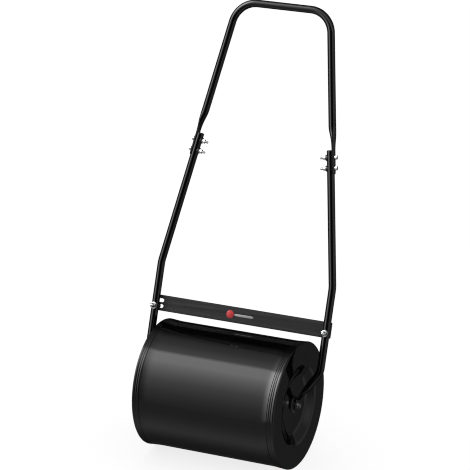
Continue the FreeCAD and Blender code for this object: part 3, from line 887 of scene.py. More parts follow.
@dataclass(frozen=True)
class Drum:
    """The rolled barrel, its two dished caps and the bushes it turns on."""

    layout: Layout
    shop: Paintshop
    barrel_radius: float = 157.4 * MM
    wall: float = 1.6 * MM
    barrel_end: float = 187.9 * MM
    flare: float = 1.1 * MM
    flare_from: float = 150.0 * MM
    flare_to: float = 171.0 * MM
    rim_radius: float = 160.0 * MM
    rim_face: float = 190.0 * MM
    rim_start: float = 172.4 * MM
    rim_rise: float = 1.6 * MM
    dish_outer: float = 101.0 * MM
    dish_inner: float = 73.0 * MM
    dish_floor: float = 177.0 * MM
    flat_inner: float = 116.0 * MM
    flat_outer: float = 150.0 * MM
    sheet: float = 2.0 * MM
    seams: tuple[float, ...] = (182.4 * MM, 177.4 * MM)
    seam_half: float = 0.9 * MM
    seam_floor_half: float = 0.2 * MM
    seam_depth: float = 0.55 * MM
    weld_angle: float = math.radians(118)
    weld_half_length: float = 160.0 * MM
    weld_ripple: float = 2.6 * MM
    weld_half_width: float = 2.4 * MM
    weld_rise: float = 0.7 * MM
    bush_bore: float = 8.15 * MM
    bush_body: float = 14.95 * MM
    bush_from: float = 155.0 * MM
    bush_flange: float = 21.0 * MM
    bush_top: float = 179.4 * MM
    hub_radius: float = 17.0 * MM
    filler_hole: float = 14.5 * MM
    steps: int = 216

    def frame(self, side: int) -> Matrix:
        """Return the frame of one end: Z outwards along the axle, X down."""
        return self.layout.to_axle() @ frame_at(Vector(), Vector((side, 0, 0)), DOWN)

    def barrel(self) -> Shape:
        """Return the rolled barrel with a shallow swage near each rim and its weld.

        Returns:
            The barrel, a closed sheet, in the row frame.
        """
        outer = self.barrel_radius
        half = [(outer, height * MM) for height in (0.0, 50.0, 100.0, 146.0)]
        for step in range(1, 13):
            part = step / 12
            half.append((outer + self.flare * part * part,
                         self.flare_from + (self.flare_to - self.flare_from) * part))
        half += [(outer + self.flare - 0.5 * MM, self.flare_to + 0.4 * MM),
                 (outer - 0.1 * MM, self.flare_to + 0.9 * MM), (outer - 0.1 * MM, self.barrel_end)]
        lower = [(radius, -height) for radius, height in reversed(half[1:])]
        inner = outer - self.wall
        back = [(inner - 0.4 * MM, self.barrel_end), (inner - 0.4 * MM, -self.barrel_end)]
        shape = Shape.turned(lower + half + back, self.steps, closed=True)
        shape.move(self.frame(1))
        return shape.add(self.weld())

    def band(self, height: float) -> float:
        """Return the rim band's radius at a distance from the drum's middle."""
        part = (self.rim_face - height) / (self.rim_face - self.rim_start)
        return self.rim_radius - self.rim_rise * part

    def weld(self) -> Shape:
        """Return the barrel's lengthwise weld, a low rippled bead on its back.

        Returns:
            The bead as a closed shape.
        """
        last = 3 * round(2 * self.weld_half_length / self.weld_ripple)
        out = Vector((0.0, math.sin(self.weld_angle), math.cos(self.weld_angle)))
        tangent = Vector((0.0, out.z, -out.y))
        rings = []
        for number in range(last + 1):
            along = self.weld_ripple * number / 3 - self.weld_half_length
            swell = (1.0 if number % 3 else 0.72) * (0.15 if number in (0, last) else 1.0)
            rings.append(self.bead(along, out, tangent, self.weld_half_width * swell,
                                   self.weld_rise * swell))
        return Shape.ringed(rings, 10).move(self.layout.to_axle())

    def bead(self, along: float, out: Vector, tangent: Vector, width: float, rise: float) -> Place:
        """Return one oval ring of the weld bead.

        Args:
            along: the ring's place along the axle.
            out: the direction away from the axle.
            tangent: the direction round the barrel.
            width: half the bead's width.
            rise: how far the bead stands off the barrel.

        Returns:
            The ring's function of the turn angle.
        """
        base = out * (self.barrel_radius - 0.3 * MM) + Vector((along, 0.0, 0.0))
        return lambda turn: base + tangent * width * math.cos(turn) + out * rise * math.sin(turn)

    def cap(self, side: int, filled: bool) -> Shape:
        """Return one dished end cap, its rim rolled over the barrel with seam lines.

        Args:
            side: 1 for the right end, -1 for the left.
            filled: whether the filler's hole is cut in it.

        Returns:
            The cap as a closed sheet.
        """
        rim = self.rim_radius
        face = self.rim_face
        floor = self.dish_floor
        outside = [(self.hub_radius, floor), (self.dish_inner, floor), (self.dish_outer, face),
                   (self.flat_inner, face), (self.flat_outer, face), (rim, face)]
        for line in self.seams:
            bottom = self.band(line) - self.seam_depth
            outside += [(self.band(line + self.seam_half), line + self.seam_half),
                        (bottom, line + self.seam_floor_half),
                        (bottom, line - self.seam_floor_half),
                        (self.band(line - self.seam_half), line - self.seam_half)]
        start = self.band(self.rim_start)
        outside += [(start, self.rim_start), (self.barrel_radius + 0.1 * MM, self.rim_start)]
        skin = self.barrel_radius + 0.02 * MM
        under = face - self.sheet
        inside = [(skin, under), (self.flat_outer, under), (self.flat_inner, under),
                  (self.dish_outer + 0.8 * MM, under),
                  (self.dish_inner + 0.6 * MM, floor - self.sheet),
                  (self.hub_radius, floor - self.sheet)]
        shape = Shape.turned(outside + inside, self.steps, closed=True)
        shape.ease_rings([(rim, face, 2.6 * MM)], 6)
        shape.ease_rings([(self.dish_outer, face, 6.0 * MM), (self.dish_inner, floor, 7.0 * MM)], 6)
        shape.ease_rings([(start, self.rim_start, 0.7 * MM)], 4)
        lips = [line + way * self.seam_half for line in self.seams for way in (-1, 1)]
        shape.ease_rings([(self.band(lip), lip, 0.6 * MM) for lip in lips], 3)
        if filled:
            self.cut_filler(shape)
        return shape.move(self.frame(side))

    def cut_filler(self, shape: Shape) -> None:
        """Cut the filler's round hole through the flat of a cap.

        Args:
            shape: the cap, still in the frame of its end.
        """
        drop = self.layout.filler_drop
        reach = 1.2 * self.filler_hole
        rims = []
        for height in (self.rim_face, self.rim_face - self.sheet):
            patch = [face for face in shape.bm.faces
                     if all(abs(vert.co.z - height) < 1e-5
                            and self.flat_inner - MM < vert.co.x < self.flat_outer + MM
                            and abs(vert.co.y) < reach * (vert.co.x / drop)
                            for vert in face.verts)]
            edges = {edge for face in patch for edge in face.edges}
            border = [edge for edge in edges
                      if sum(face in patch for face in edge.link_faces) == 1]
            bmesh.ops.delete(shape.bm, geom=patch, context="FACES")
            spot = Matrix.Translation((drop, 0.0, height))
            made = bmesh.ops.create_circle(shape.bm, cap_ends=False, radius=self.filler_hole,
                                           segments=48, matrix=spot)["verts"]
            hole = list({edge for vert in made for edge in vert.link_edges})
            bmesh.ops.bridge_loops(shape.bm, edges=border + hole)
            rims += hole
        bmesh.ops.bridge_loops(shape.bm, edges=rims)

    def bush(self, side: int) -> Shape:
        """Return one moulded bush: a flange on the cap and a barrel in the sleeve.

        Args:
            side: 1 for the right end, -1 for the left.

        Returns:
            The bush as a closed ring.
        """
        floor = self.dish_floor
        top = self.bush_top
        profile = [(self.bush_bore, self.bush_from), (self.bush_body, self.bush_from),
                   (self.bush_body, floor), (self.bush_flange, floor), (self.bush_flange, top),
                   (13 * MM, top), (12.4 * MM, top - 0.5 * MM), (11.2 * MM, top - 0.5 * MM),
                   (10.6 * MM, top + 0.2 * MM), (self.bush_bore, top + 0.2 * MM)]
        shape = Shape.turned(profile, 72, closed=True)
        shape.ease_rings([(self.bush_flange, top, 0.7 * MM)], 3)
        return shape.move(self.frame(side))

    def build(self) -> None:
        """Make the drum's pieces."""
        paint = Coating.DRUM_PAINT
        self.shop.fit(self.barrel(), "drum_barrel", DRUM, paint, ["drum_shell"])
        for name, side in SIDES.items():
            self.shop.fit(self.cap(side, side < 0), f"drum_cap_{name}", DRUM, paint,
                          [f"end_cap_{name}"])
            self.shop.fit(self.bush(side), f"drum_bush_{name}", DRUM, Coating.BUSH_PLASTIC,
                          [f"axle_bush_{name}"])
        self.shop.keep("axle_sleeve", paint)
        self.shop.keep("filler_neck", paint)
        self.shop.keep("filler_gasket", Coating.RUBBER)


@dataclass(frozen=True)
class Filler:
    """The screwed plug that closes the drum's water hole, in the left cap."""

    layout: Layout
    shop: Paintshop
    seat: float = 195.5 * MM
    flange: float = 16.0 * MM
    flange_height: float = 3.0 * MM
    ribs: int = 24
    rib_depth: float = 0.35 * MM
    flats: float = 17.0 * MM
    hexagon_height: float = 5.0 * MM
    stem: float = 11.7 * MM
    stem_from: float = 186.5 * MM
    pitch: float = 1.8 * MM

    def frame(self) -> Matrix:
        """Return the plug's frame: Z outwards from the left cap."""
        spot = Vector((0.0, 0.0, self.layout.axle_height - self.layout.filler_drop))
        return frame_at(spot, Vector((-1, 0, 0)), DOWN)

    def plug(self) -> Shape:
        """Return the plug: a ribbed flange, a hexagon and a threaded stem.

        Returns:
            The plug in the row frame.
        """
        rim = self.flange

        def ribbed(height: float, radius: float) -> Place:
            """Return a ring with shallow grip ribs.

            Args:
                height: the ring's height.
                radius: the ribs' outer radius.

            Returns:
                The ring's function of the turn angle.
            """
            def place(turn: float) -> Vector:
                """Return the rib's surface at a turn angle."""
                reach = radius - self.rib_depth * (0.5 + 0.5 * math.cos(self.ribs * turn))
                return Vector((reach * math.cos(turn), reach * math.sin(turn), height))
            return place

        base = self.seat
        top = base + self.flange_height
        flange = Shape.ringed([level(3 * MM, base), level(rim - 0.8 * MM, base),
                               ribbed(base + 0.5 * MM, rim), ribbed(top - 0.7 * MM, rim),
                               level(rim - 1.1 * MM, top), level(3 * MM, top)], 144)
        hexagon = Hexagon(self.flats, self.hexagon_height).bolt_head()
        hexagon.move(lifted(top - 0.01 * MM))
        screw = thread(self.stem, self.stem_from, base - 0.2 * MM, self.pitch)
        return join([flange, hexagon, screw]).move(self.frame())

    def build(self) -> None:
        """Make the plug."""
        self.shop.fit(self.plug(), "filler_cap", PLUG, Coating.BLACK_PLASTIC,
                      ["filler_plug"])


# ---------------------------------------------------------------------------- axle ends

@dataclass(frozen=True)
class AxleEnds:
    """The bolts and washers that hold the handle's feet to the axle rod."""

    layout: Layout
    shop: Paintshop
    foot_face: float = 186.7 * MM
    washer_bore: float = 4.3 * MM
    washer_radius: float = 8.5 * MM
    washer_top: float = 188.3 * MM
    head_flats: float = 13.0 * MM
    head_top: float = 193.6 * MM
    shank_radius: float = 4.0 * MM
    shank_from: float = 174.0 * MM

    def build(self) -> None:
        """Make the axle's fixings and dress the rod."""
        washers = []
        bolts = []
        turn = self.layout.to_handle()
        for side in SIDES.values():
            end = turn @ frame_at(Vector(), Vector((side, 0, 0)), Vector((0, 0, 1)))
            washers.append(washer(self.washer_bore, self.washer_radius, self.foot_face,
                                  self.washer_top).move(end))
            head = Hexagon(self.head_flats, self.head_top - self.washer_top).bolt_head()
            head.move(lifted(self.washer_top))
            shank = Shape.turned([(0.0, self.shank_from), (self.shank_radius, self.shank_from),
                                  (self.shank_radius, self.washer_top),
                                  (0.0, self.washer_top)], 32)
            bolts.append(join([head, shank]).move(end))
        # The axle-end washers and bolts take the zinc copy with painted shade.
        self.shop.fit(join(washers), "axle_end_washers", HANDLE, Coating.ZINC_PAINTED_SHADE,
                      ["axle_washers"])
        self.shop.fit(join(bolts), "axle_end_bolts", HANDLE, Coating.ZINC_PAINTED_SHADE,
                      ["axle_bolts"])
        self.shop.keep("axle_rod", Coating.AXLE_STEEL)
        self.shop.keep("axle_thrust_washers", Coating.BLACK_PLASTIC)


# ---------------------------------------------------------------------------- handle

@dataclass(frozen=True)
class LowerTubes:
    """The two lower legs: bent in at the foot and pressed flat on the axle."""

    layout: Layout
    shop: Paintshop
    knee_radius: float = 90.0 * MM
    foot_bend: float = 88.0 * MM
    foot_radius: float = 42.0 * MM
    foot_angle: float = math.radians(33)
    plate_x: float = 184.8 * MM
    plate_half: float = 1.9 * MM
    plate_width: float = 13.5 * MM
    press_from: float = 52.0 * MM
    press_to: float = 23.0 * MM
    segments: int = 56

    def corners(self) -> list[Corner]:
        """Return the right leg's centreline from its top to the middle of the foot plate.

        Returns:
            The centreline's corners.
        """
        line = self.layout
        fall = (line.leg_offset - self.plate_x) / math.tan(self.foot_angle)
        return [Corner(line.lower_leg(line.leg_top), line.leg_top),
                Corner(line.leg_offset, line.knee, self.knee_radius),
                Corner(line.leg_offset, self.foot_bend, self.foot_radius),
                Corner(self.plate_x, self.foot_bend - fall, 9.0 * MM),
                Corner(self.plate_x, 0.0)]

    def stations(self) -> list[Station]:
        """Return the sections of the right leg, from the top down to the rounded foot end.

        Returns:
            The sections in order.
        """
        radius = self.layout.tube_radius
        made = []
        for point, heading in walk(self.corners(), 4.0 * MM):
            flat = smooth_step((self.press_from - point.z) / (self.press_from - self.press_to))
            across = Vector((-heading.z, 0.0, heading.x))
            made.append(Station(point, across, radius + (self.plate_half - radius) * flat,
                                radius + (self.plate_width - radius) * flat, 2.0 + 3.2 * flat))
        for step in range(1, 13):
            angle = math.radians(88) * step / 12
            centre = Vector((self.plate_x, 0.0, -self.plate_width * math.sin(angle)))
            made.append(Station(centre, RIGHT,
                                self.plate_half * (0.7 if step == 12 else 1.0),
                                self.plate_width * math.cos(angle), 5.2))
        return made

    def leg(self, side: int) -> Shape:
        """Return one leg in the row frame.

        Args:
            side: 1 for the right leg, -1 for the left.

        Returns:
            The leg as a closed shape.
        """
        shape = Shape.ringed([station.ring() for station in self.stations()], self.segments)
        if side < 0:
            bmesh.ops.scale(shape.bm, vec=(-1, 1, 1), verts=shape.bm.verts)
            shape.clean()
        return shape.move(self.layout.to_handle())

    def build(self) -> None:
        """Make both legs."""
        for name, side in SIDES.items():
            self.shop.fit(self.leg(side), f"lower_tube_{name}", HANDLE, Coating.HANDLE_PAINT,
                          [f"lower_handle_{name}"])


@dataclass(frozen=True)
class GripTube:
    """The upper hoop: one tube bent twice, its ends pressed to lap the lower legs."""

    layout: Layout
    shop: Paintshop
    bar_height: float = 969.5 * MM
    corner_radius: float = 62.0 * MM
    press_from: float = 692.0 * MM
    press_to: float = 632.0 * MM
    end: float = 575.0 * MM
    plate_half: float = 1.2 * MM
    plate_width: float = 10.8 * MM
    plate_shift: float = 5.3 * MM
    wrap_radius: float = 10.8 * MM
    segments: int = 56

    def corners(self) -> list[Corner]:
        """Return the hoop's centreline from the left end over the top to the right end.

        Returns:
            The centreline's corners.
        """
        line = self.layout
        foot = line.upper_leg(self.end)
        top = line.upper_leg(self.bar_height)
        return [Corner(-foot, self.end), Corner(-top, self.bar_height, self.corner_radius),
                Corner(top, self.bar_height, self.corner_radius), Corner(foot, self.end)]

    def stations(self) -> list[Station]:
        """Return the hoop's sections, its pressed ends wrapped round the lower legs.

        Returns:
            The sections in order.
        """
        radius = self.layout.tube_radius
        steps = walk(self.corners(), 4.0 * MM)
        made = []
        for number, (point, heading) in enumerate(steps):
            flat = smooth_step((self.press_from - point.z) / (self.press_from - self.press_to))
            tip = min(number, len(steps) - 1 - number)
            inset = (1.2 * MM, 0.35 * MM, 0.0)[min(tip, 2)]
            across = Vector((-heading.z, 0.0, heading.x))
            made.append(Station(point + across * self.plate_shift * flat, across,
                                radius + (self.plate_half - radius) * flat - inset * 0.5,
                                radius + (self.plate_width - radius) * flat - inset,
                                2.0 + 2.6 * flat, flat / self.wrap_radius))
        return made

    def build(self) -> None:
        """Make the hoop."""
        shape = Shape.ringed([station.ring() for station in self.stations()], self.segments)
        self.shop.fit(shape.move(self.layout.to_handle()), "grip_hoop", HANDLE, Coating.HANDLE_PAINT,
                      ["upper_handle"])


@dataclass(frozen=True)
class TubePlugs:
    """The pushed-in plugs that close the tops of the lower legs."""

    layout: Layout
    shop: Paintshop
    cap: float = 3.0 * MM
    insert: float = 8.0 * MM
    stem: float = 7.4 * MM

    def plug(self, side: int) -> Shape:
        """Return one plug: a domed cap over a finned stem.

        Args:
            side: 1 for the right leg, -1 for the left.

        Returns:
            The plug in the row frame.
        """
        rim = self.layout.tube_radius
        stem = self.stem
        profile = [(0.0, -self.insert), (stem - 0.8 * MM, -self.insert)]
        for number in range(2):
            low = -self.insert + (1.6 + 3.0 * number) * MM
            profile += [(stem, low), (stem + 0.5 * MM, low + 0.6 * MM), (stem, low + 1.2 * MM)]
        profile += [(stem, 0.0), (rim, 0.0), (rim, 1.6 * MM), (rim - 0.5 * MM, 2.35 * MM),
                    (rim - 1.6 * MM, 2.8 * MM), (rim * 0.4, self.cap), (0.0, self.cap)]
        shape = Shape.turned(profile, 56)
        top = self.layout.on_leg(side, self.layout.leg_top)
        spot = frame_at(top, self.layout.along(side), Vector((0, 1, 0)))
        return shape.move(self.layout.to_handle() @ spot)

    def build(self) -> None:
        """Make both plugs."""
        for name, side in SIDES.items():
            self.shop.fit(self.plug(side), f"tube_cap_{name}", HANDLE, Coating.BLACK_PLASTIC,
                          [f"tube_end_plug_{name}"])


# ---------------------------------------------------------------------------- scraper

@dataclass(frozen=True)
class Scraper:
    """The bar behind the legs that cleans the drum, its label and its fixings."""

    layout: Layout
    shop: Paintshop
    bar_front: float = 9.5 * MM
    bar_back: float = 12.5 * MM
    bolt_row: float = 185.8 * MM
    middle: float = 194.0 * MM
    spot_x: float = -31.0 * MM
    spot_radius: float = 10.0 * MM
    strip_x: float = 6.6 * MM
    strip_half: tuple[float, float] = (26.0 * MM, 3.0 * MM)
    label_sunk: float = -0.2 * MM
    label_edge: float = 0.25 * MM
    label_top: float = 0.4 * MM
    label_ease: float = 0.3 * MM
    head_radius: float = 8.9 * MM
    head_rim: float = 0.8 * MM
    head_rise: float = 3.6 * MM
    shank_radius: float = 3.95 * MM
    shank_length: float = 33.0 * MM
    pitch: float = 1.25 * MM
    washer_bore: float = 4.2 * MM
    washer_radius: float = 8.5 * MM
    washer_height: float = 1.6 * MM
    nut_flats: float = 13.0 * MM
    nut_height: float = 6.5 * MM
    dome_radius: float = 5.7 * MM
    dome_top: float = 14.5 * MM

    def bar(self) -> Shape:
        """Return the bar: the CAD solid merged, its flat faces dissolved and its edges eased.

        Returns:
            The bar in the row frame.
        """
        shape = Shape()
        shape.bm.from_mesh(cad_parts["scraper_bar"].data)
        bmesh.ops.remove_doubles(shape.bm, verts=shape.bm.verts, dist=1e-6)
        bmesh.ops.dissolve_limit(shape.bm, angle_limit=math.radians(1.5),
                                 use_dissolve_boundaries=False, verts=shape.bm.verts,
                                 edges=shape.bm.edges)
        shape.bevel(shape.sharp_edges(math.radians(50)), 0.45 * MM, 2)
        return shape

    def label_disc(self) -> Shape:
        """Return the label's round spot, a thin raised disc.

        Returns:
            The spot in the row frame.
        """
        rim = self.spot_radius
        profile = [(0.0, self.label_sunk), (rim, self.label_sunk), (rim, self.label_edge),
                   (rim - self.label_ease, self.label_top), (0.0, self.label_top)]
        spot = frame_at(Vector((self.spot_x, self.bar_front, self.middle)), FRONT, RIGHT)
        return Shape.turned(profile, 48).move(self.layout.to_handle() @ spot)

    def label_strip(self) -> Shape:
        """Return the label's plain strip, a thin raised bar with round ends.

        Returns:
            The strip in the row frame.
        """
        def oval(half_x: float, half_z: float, height: float) -> Place:
            """Return a rounded bar's outline at a height off the scraper.

            Args:
                half_x: half its length.
                half_z: half its width.
                height: its height off the scraper.

            Returns:
                The outline's function of the turn angle.
            """
            def place(turn: float) -> Vector:
                """Return the outline's edge at a turn angle.

                Args:
                    turn: the turn angle.

                Returns:
                    The point on the outline.
                """
                cosine = math.cos(turn)
                flat = math.copysign(min(1.0, abs(cosine) * 1.02) ** 0.25, cosine)
                return Vector((half_x * flat, half_z * math.sin(turn), height))
            return place

        long, wide = self.strip_half
        shape = Shape.ringed([oval(long, wide, self.label_sunk), oval(long, wide, self.label_edge),
                              oval(long - self.label_ease, wide - self.label_ease,
                                   self.label_top)], 64)
        spot = frame_at(Vector((self.strip_x, self.bar_front, self.middle)), FRONT, RIGHT)
        return shape.move(self.layout.to_handle() @ spot)

    def coach_bolt(self, side: int) -> Shape:
        """Return one coach bolt: a mushroom head behind the bar and its threaded shank.

        Args:
            side: 1 for the right leg, -1 for the left.

        Returns:
            The bolt in the row frame.
        """
        crown = self.head_radius
        rings = [level(3 * MM, 0.0), level(crown - 0.2 * MM, 0.0),
                 level(crown + 0.1 * MM, 0.35 * MM), level(crown, self.head_rim)]
        for step in range(1, 10):
            angle = TURN / 4 * step / 10
            rings.append(level(crown * math.cos(angle),
                               self.head_rim + self.head_rise * math.sin(angle)))
        head = Shape.ringed(rings, 56)
        behind = Vector((side * self.layout.leg_offset, self.bar_back, self.bolt_row))
        head.move(frame_at(behind, Vector((0, 1, 0)), RIGHT))
        shank = thread(self.shank_radius, 0.0, self.shank_length, self.pitch)
        shank.move(frame_at(behind, FRONT, RIGHT))
        return join([head, shank]).move(self.layout.to_handle())

    def front_frame(self, side: int, off_tube: float) -> Matrix:
        """Return the frame of a fixing in front of a leg, Z forwards.

        Args:
            side: 1 for the right leg, -1 for the left.
            off_tube: how far in front of the tube its zero lies.

        Returns:
            The frame, on the leg's bolt.
        """
        spot = Vector((side * self.layout.leg_offset, -self.layout.tube_radius - off_tube,
                       self.bolt_row))
        return self.layout.to_handle() @ frame_at(spot, FRONT, RIGHT)

    def build(self) -> None:
        """Make the bar, its label and its fixings."""
        self.shop.fit(self.bar(), "scraper_blade", HANDLE, Coating.SCRAPER_PAINT,
                      ["scraper_bar"])
        spot = self.shop.fit(self.label_disc(), "scraper_label_spot", HANDLE, Coating.LABEL_RED)
        spot.visible_glossy = False
        self.shop.fit(self.label_strip(), "scraper_label_strip", HANDLE, Coating.LABEL_GREY)
        sides = SIDES.values()
        self.shop.fit(join(self.coach_bolt(side) for side in sides), "scraper_coach_bolts", HANDLE,
                      Coating.ZINC, ["scraper_bolts"])
        rings = [washer(self.washer_bore, self.washer_radius, 0.0, self.washer_height)
                 .move(self.front_frame(side, 0.0)) for side in sides]
        self.shop.fit(join(rings), "scraper_round_washers", HANDLE, Coating.ZINC,
                      ["scraper_washers"])
        nuts = [Hexagon(self.nut_flats, self.nut_height).cap_nut(self.dome_radius, self.dome_top)
                .move(self.front_frame(side, self.washer_height)) for side in sides]
        self.shop.fit(join(nuts), "scraper_dome_nuts", HANDLE, Coating.ZINC,
                      ["scraper_cap_nuts"])


# ---------------------------------------------------------------------------- leg joints

@dataclass(frozen=True)
class LegJoints:
    """The bolts that hold the hoop's pressed ends to the lower legs."""

    layout: Layout
    shop: Paintshop
    heights: tuple[float, float] = (588.0 * MM, 614.0 * MM)
    plate_face: float = 12.0 * MM
    seat: float = 13.2 * MM
    head: float = 4.0 * MM
    saddle_to: float = 12.1 * MM
    saddle_radius: float = 7.5 * MM
    washer_to: float = 13.3 * MM
    washer_bore: float = 3.2 * MM
    washer_radius: float = 6.0 * MM
    flats: float = 10.0 * MM
    nut_to: float = 18.8 * MM
    nut_bore: float = 3.0 * MM
    shank_radius: float = 2.95 * MM
    pitch: float = 1.0 * MM
    tail: float = 26.8 * MM

    def frames(self, inward: bool) -> list[Matrix]:
        """Return the frames of all four bolts.

        Args:
            inward: whether Z points to the middle of the handle instead of outwards.

        Returns:
            The frames, with X up the leg and zero on the lower leg's axis.
        """
        made = []
        for side in SIDES.values():
            for height in self.heights:
                out = self.layout.outward(side)
                spot = frame_at(self.layout.on_leg(side, height), -out if inward else out,
                                self.layout.along(side))
                made.append(self.layout.to_handle() @ spot)
        return made

    def saddle(self) -> Shape:
        """Return one saddle washer, hollowed underneath to sit on the tube.

        Returns:
            The washer, Z away from the tube's axis.
        """
        tube = self.layout.tube_radius

        def foot(radius: float) -> Place:
            """Return a ring that lies on the tube.

            Args:
                radius: the ring's radius, seen along Z.

            Returns:
                The ring's function of the turn angle.
            """
            def place(turn: float) -> Vector:
                """Return the point on the tube at a turn angle."""
                deep = radius * math.sin(turn)
                return Vector((radius * math.cos(turn), deep, math.sqrt(tube * tube - deep * deep)))
            return place

        rim = self.saddle_radius
        top = self.saddle_to
        hole = self.washer_bore
        return Shape.ringed([foot(hole), foot(rim - 0.4 * MM), foot(rim),
                             level(rim, top - 0.9 * MM), level(rim - 0.3 * MM, top - 0.3 * MM),
                             level(rim - 0.9 * MM, top), level(hole, top)], 64)

    def bolt(self) -> Shape:
        """Return one bolt: the head outside the hoop's end and the shank through both tubes.

        Returns:
            The bolt, Z outwards from the lower leg's axis.
        """
        head = Hexagon(self.flats, self.head).bolt_head()
        head.move(lifted(self.seat))
        shank = thread(self.shank_radius, -self.seat, self.tail, self.pitch)
        shank.move(Matrix.Rotation(math.pi, 4, "X"))
        return join([head, shank])

    def washers(self, inward: bool, low: float, high: float) -> Shape:
        """Return the flat washers of all four bolts.

        Args:
            inward: whether they lie on the inner side of the legs.
            low: how far the near face is from the leg's axis.
            high: how far the other face is from it.

        Returns:
            The washers in the row frame.
        """
        return join(washer(self.washer_bore, self.washer_radius, low, high, 0.2 * MM).move(spot)
                    for spot in self.frames(inward))

    def build(self) -> None:
        """Make the joint's fixings."""
        bolts = [self.bolt().move(spot) for spot in self.frames(inward=False)]
        self.shop.fit(join(bolts), "hoop_bolts", HANDLE, Coating.ZINC, ["joint_bolts"])
        saddles = [self.saddle().move(spot) for spot in self.frames(inward=True)]
        self.shop.fit(join(saddles), "hoop_saddles", HANDLE, Coating.BLACK_PLASTIC,
                      ["joint_saddle_washers"])
        self.shop.fit(self.washers(True, self.saddle_to, self.washer_to), "hoop_washers",
                      HANDLE, Coating.ZINC, ["joint_washers"])
        self.shop.fit(self.washers(False, self.plate_face, self.seat), "hoop_head_washers",
                      HANDLE, Coating.ZINC, ["joint_head_washers"])
        nuts = []
        for spot in self.frames(inward=True):
            nut = Hexagon(self.flats, self.nut_to - self.washer_to).nut(self.nut_bore)
            nuts.append(nut.move(spot @ lifted(self.washer_to)))
        self.shop.fit(join(nuts), "hoop_nuts", HANDLE, Coating.ZINC, ["joint_nuts"])


# ---------------------------------------------------------------------------- studio

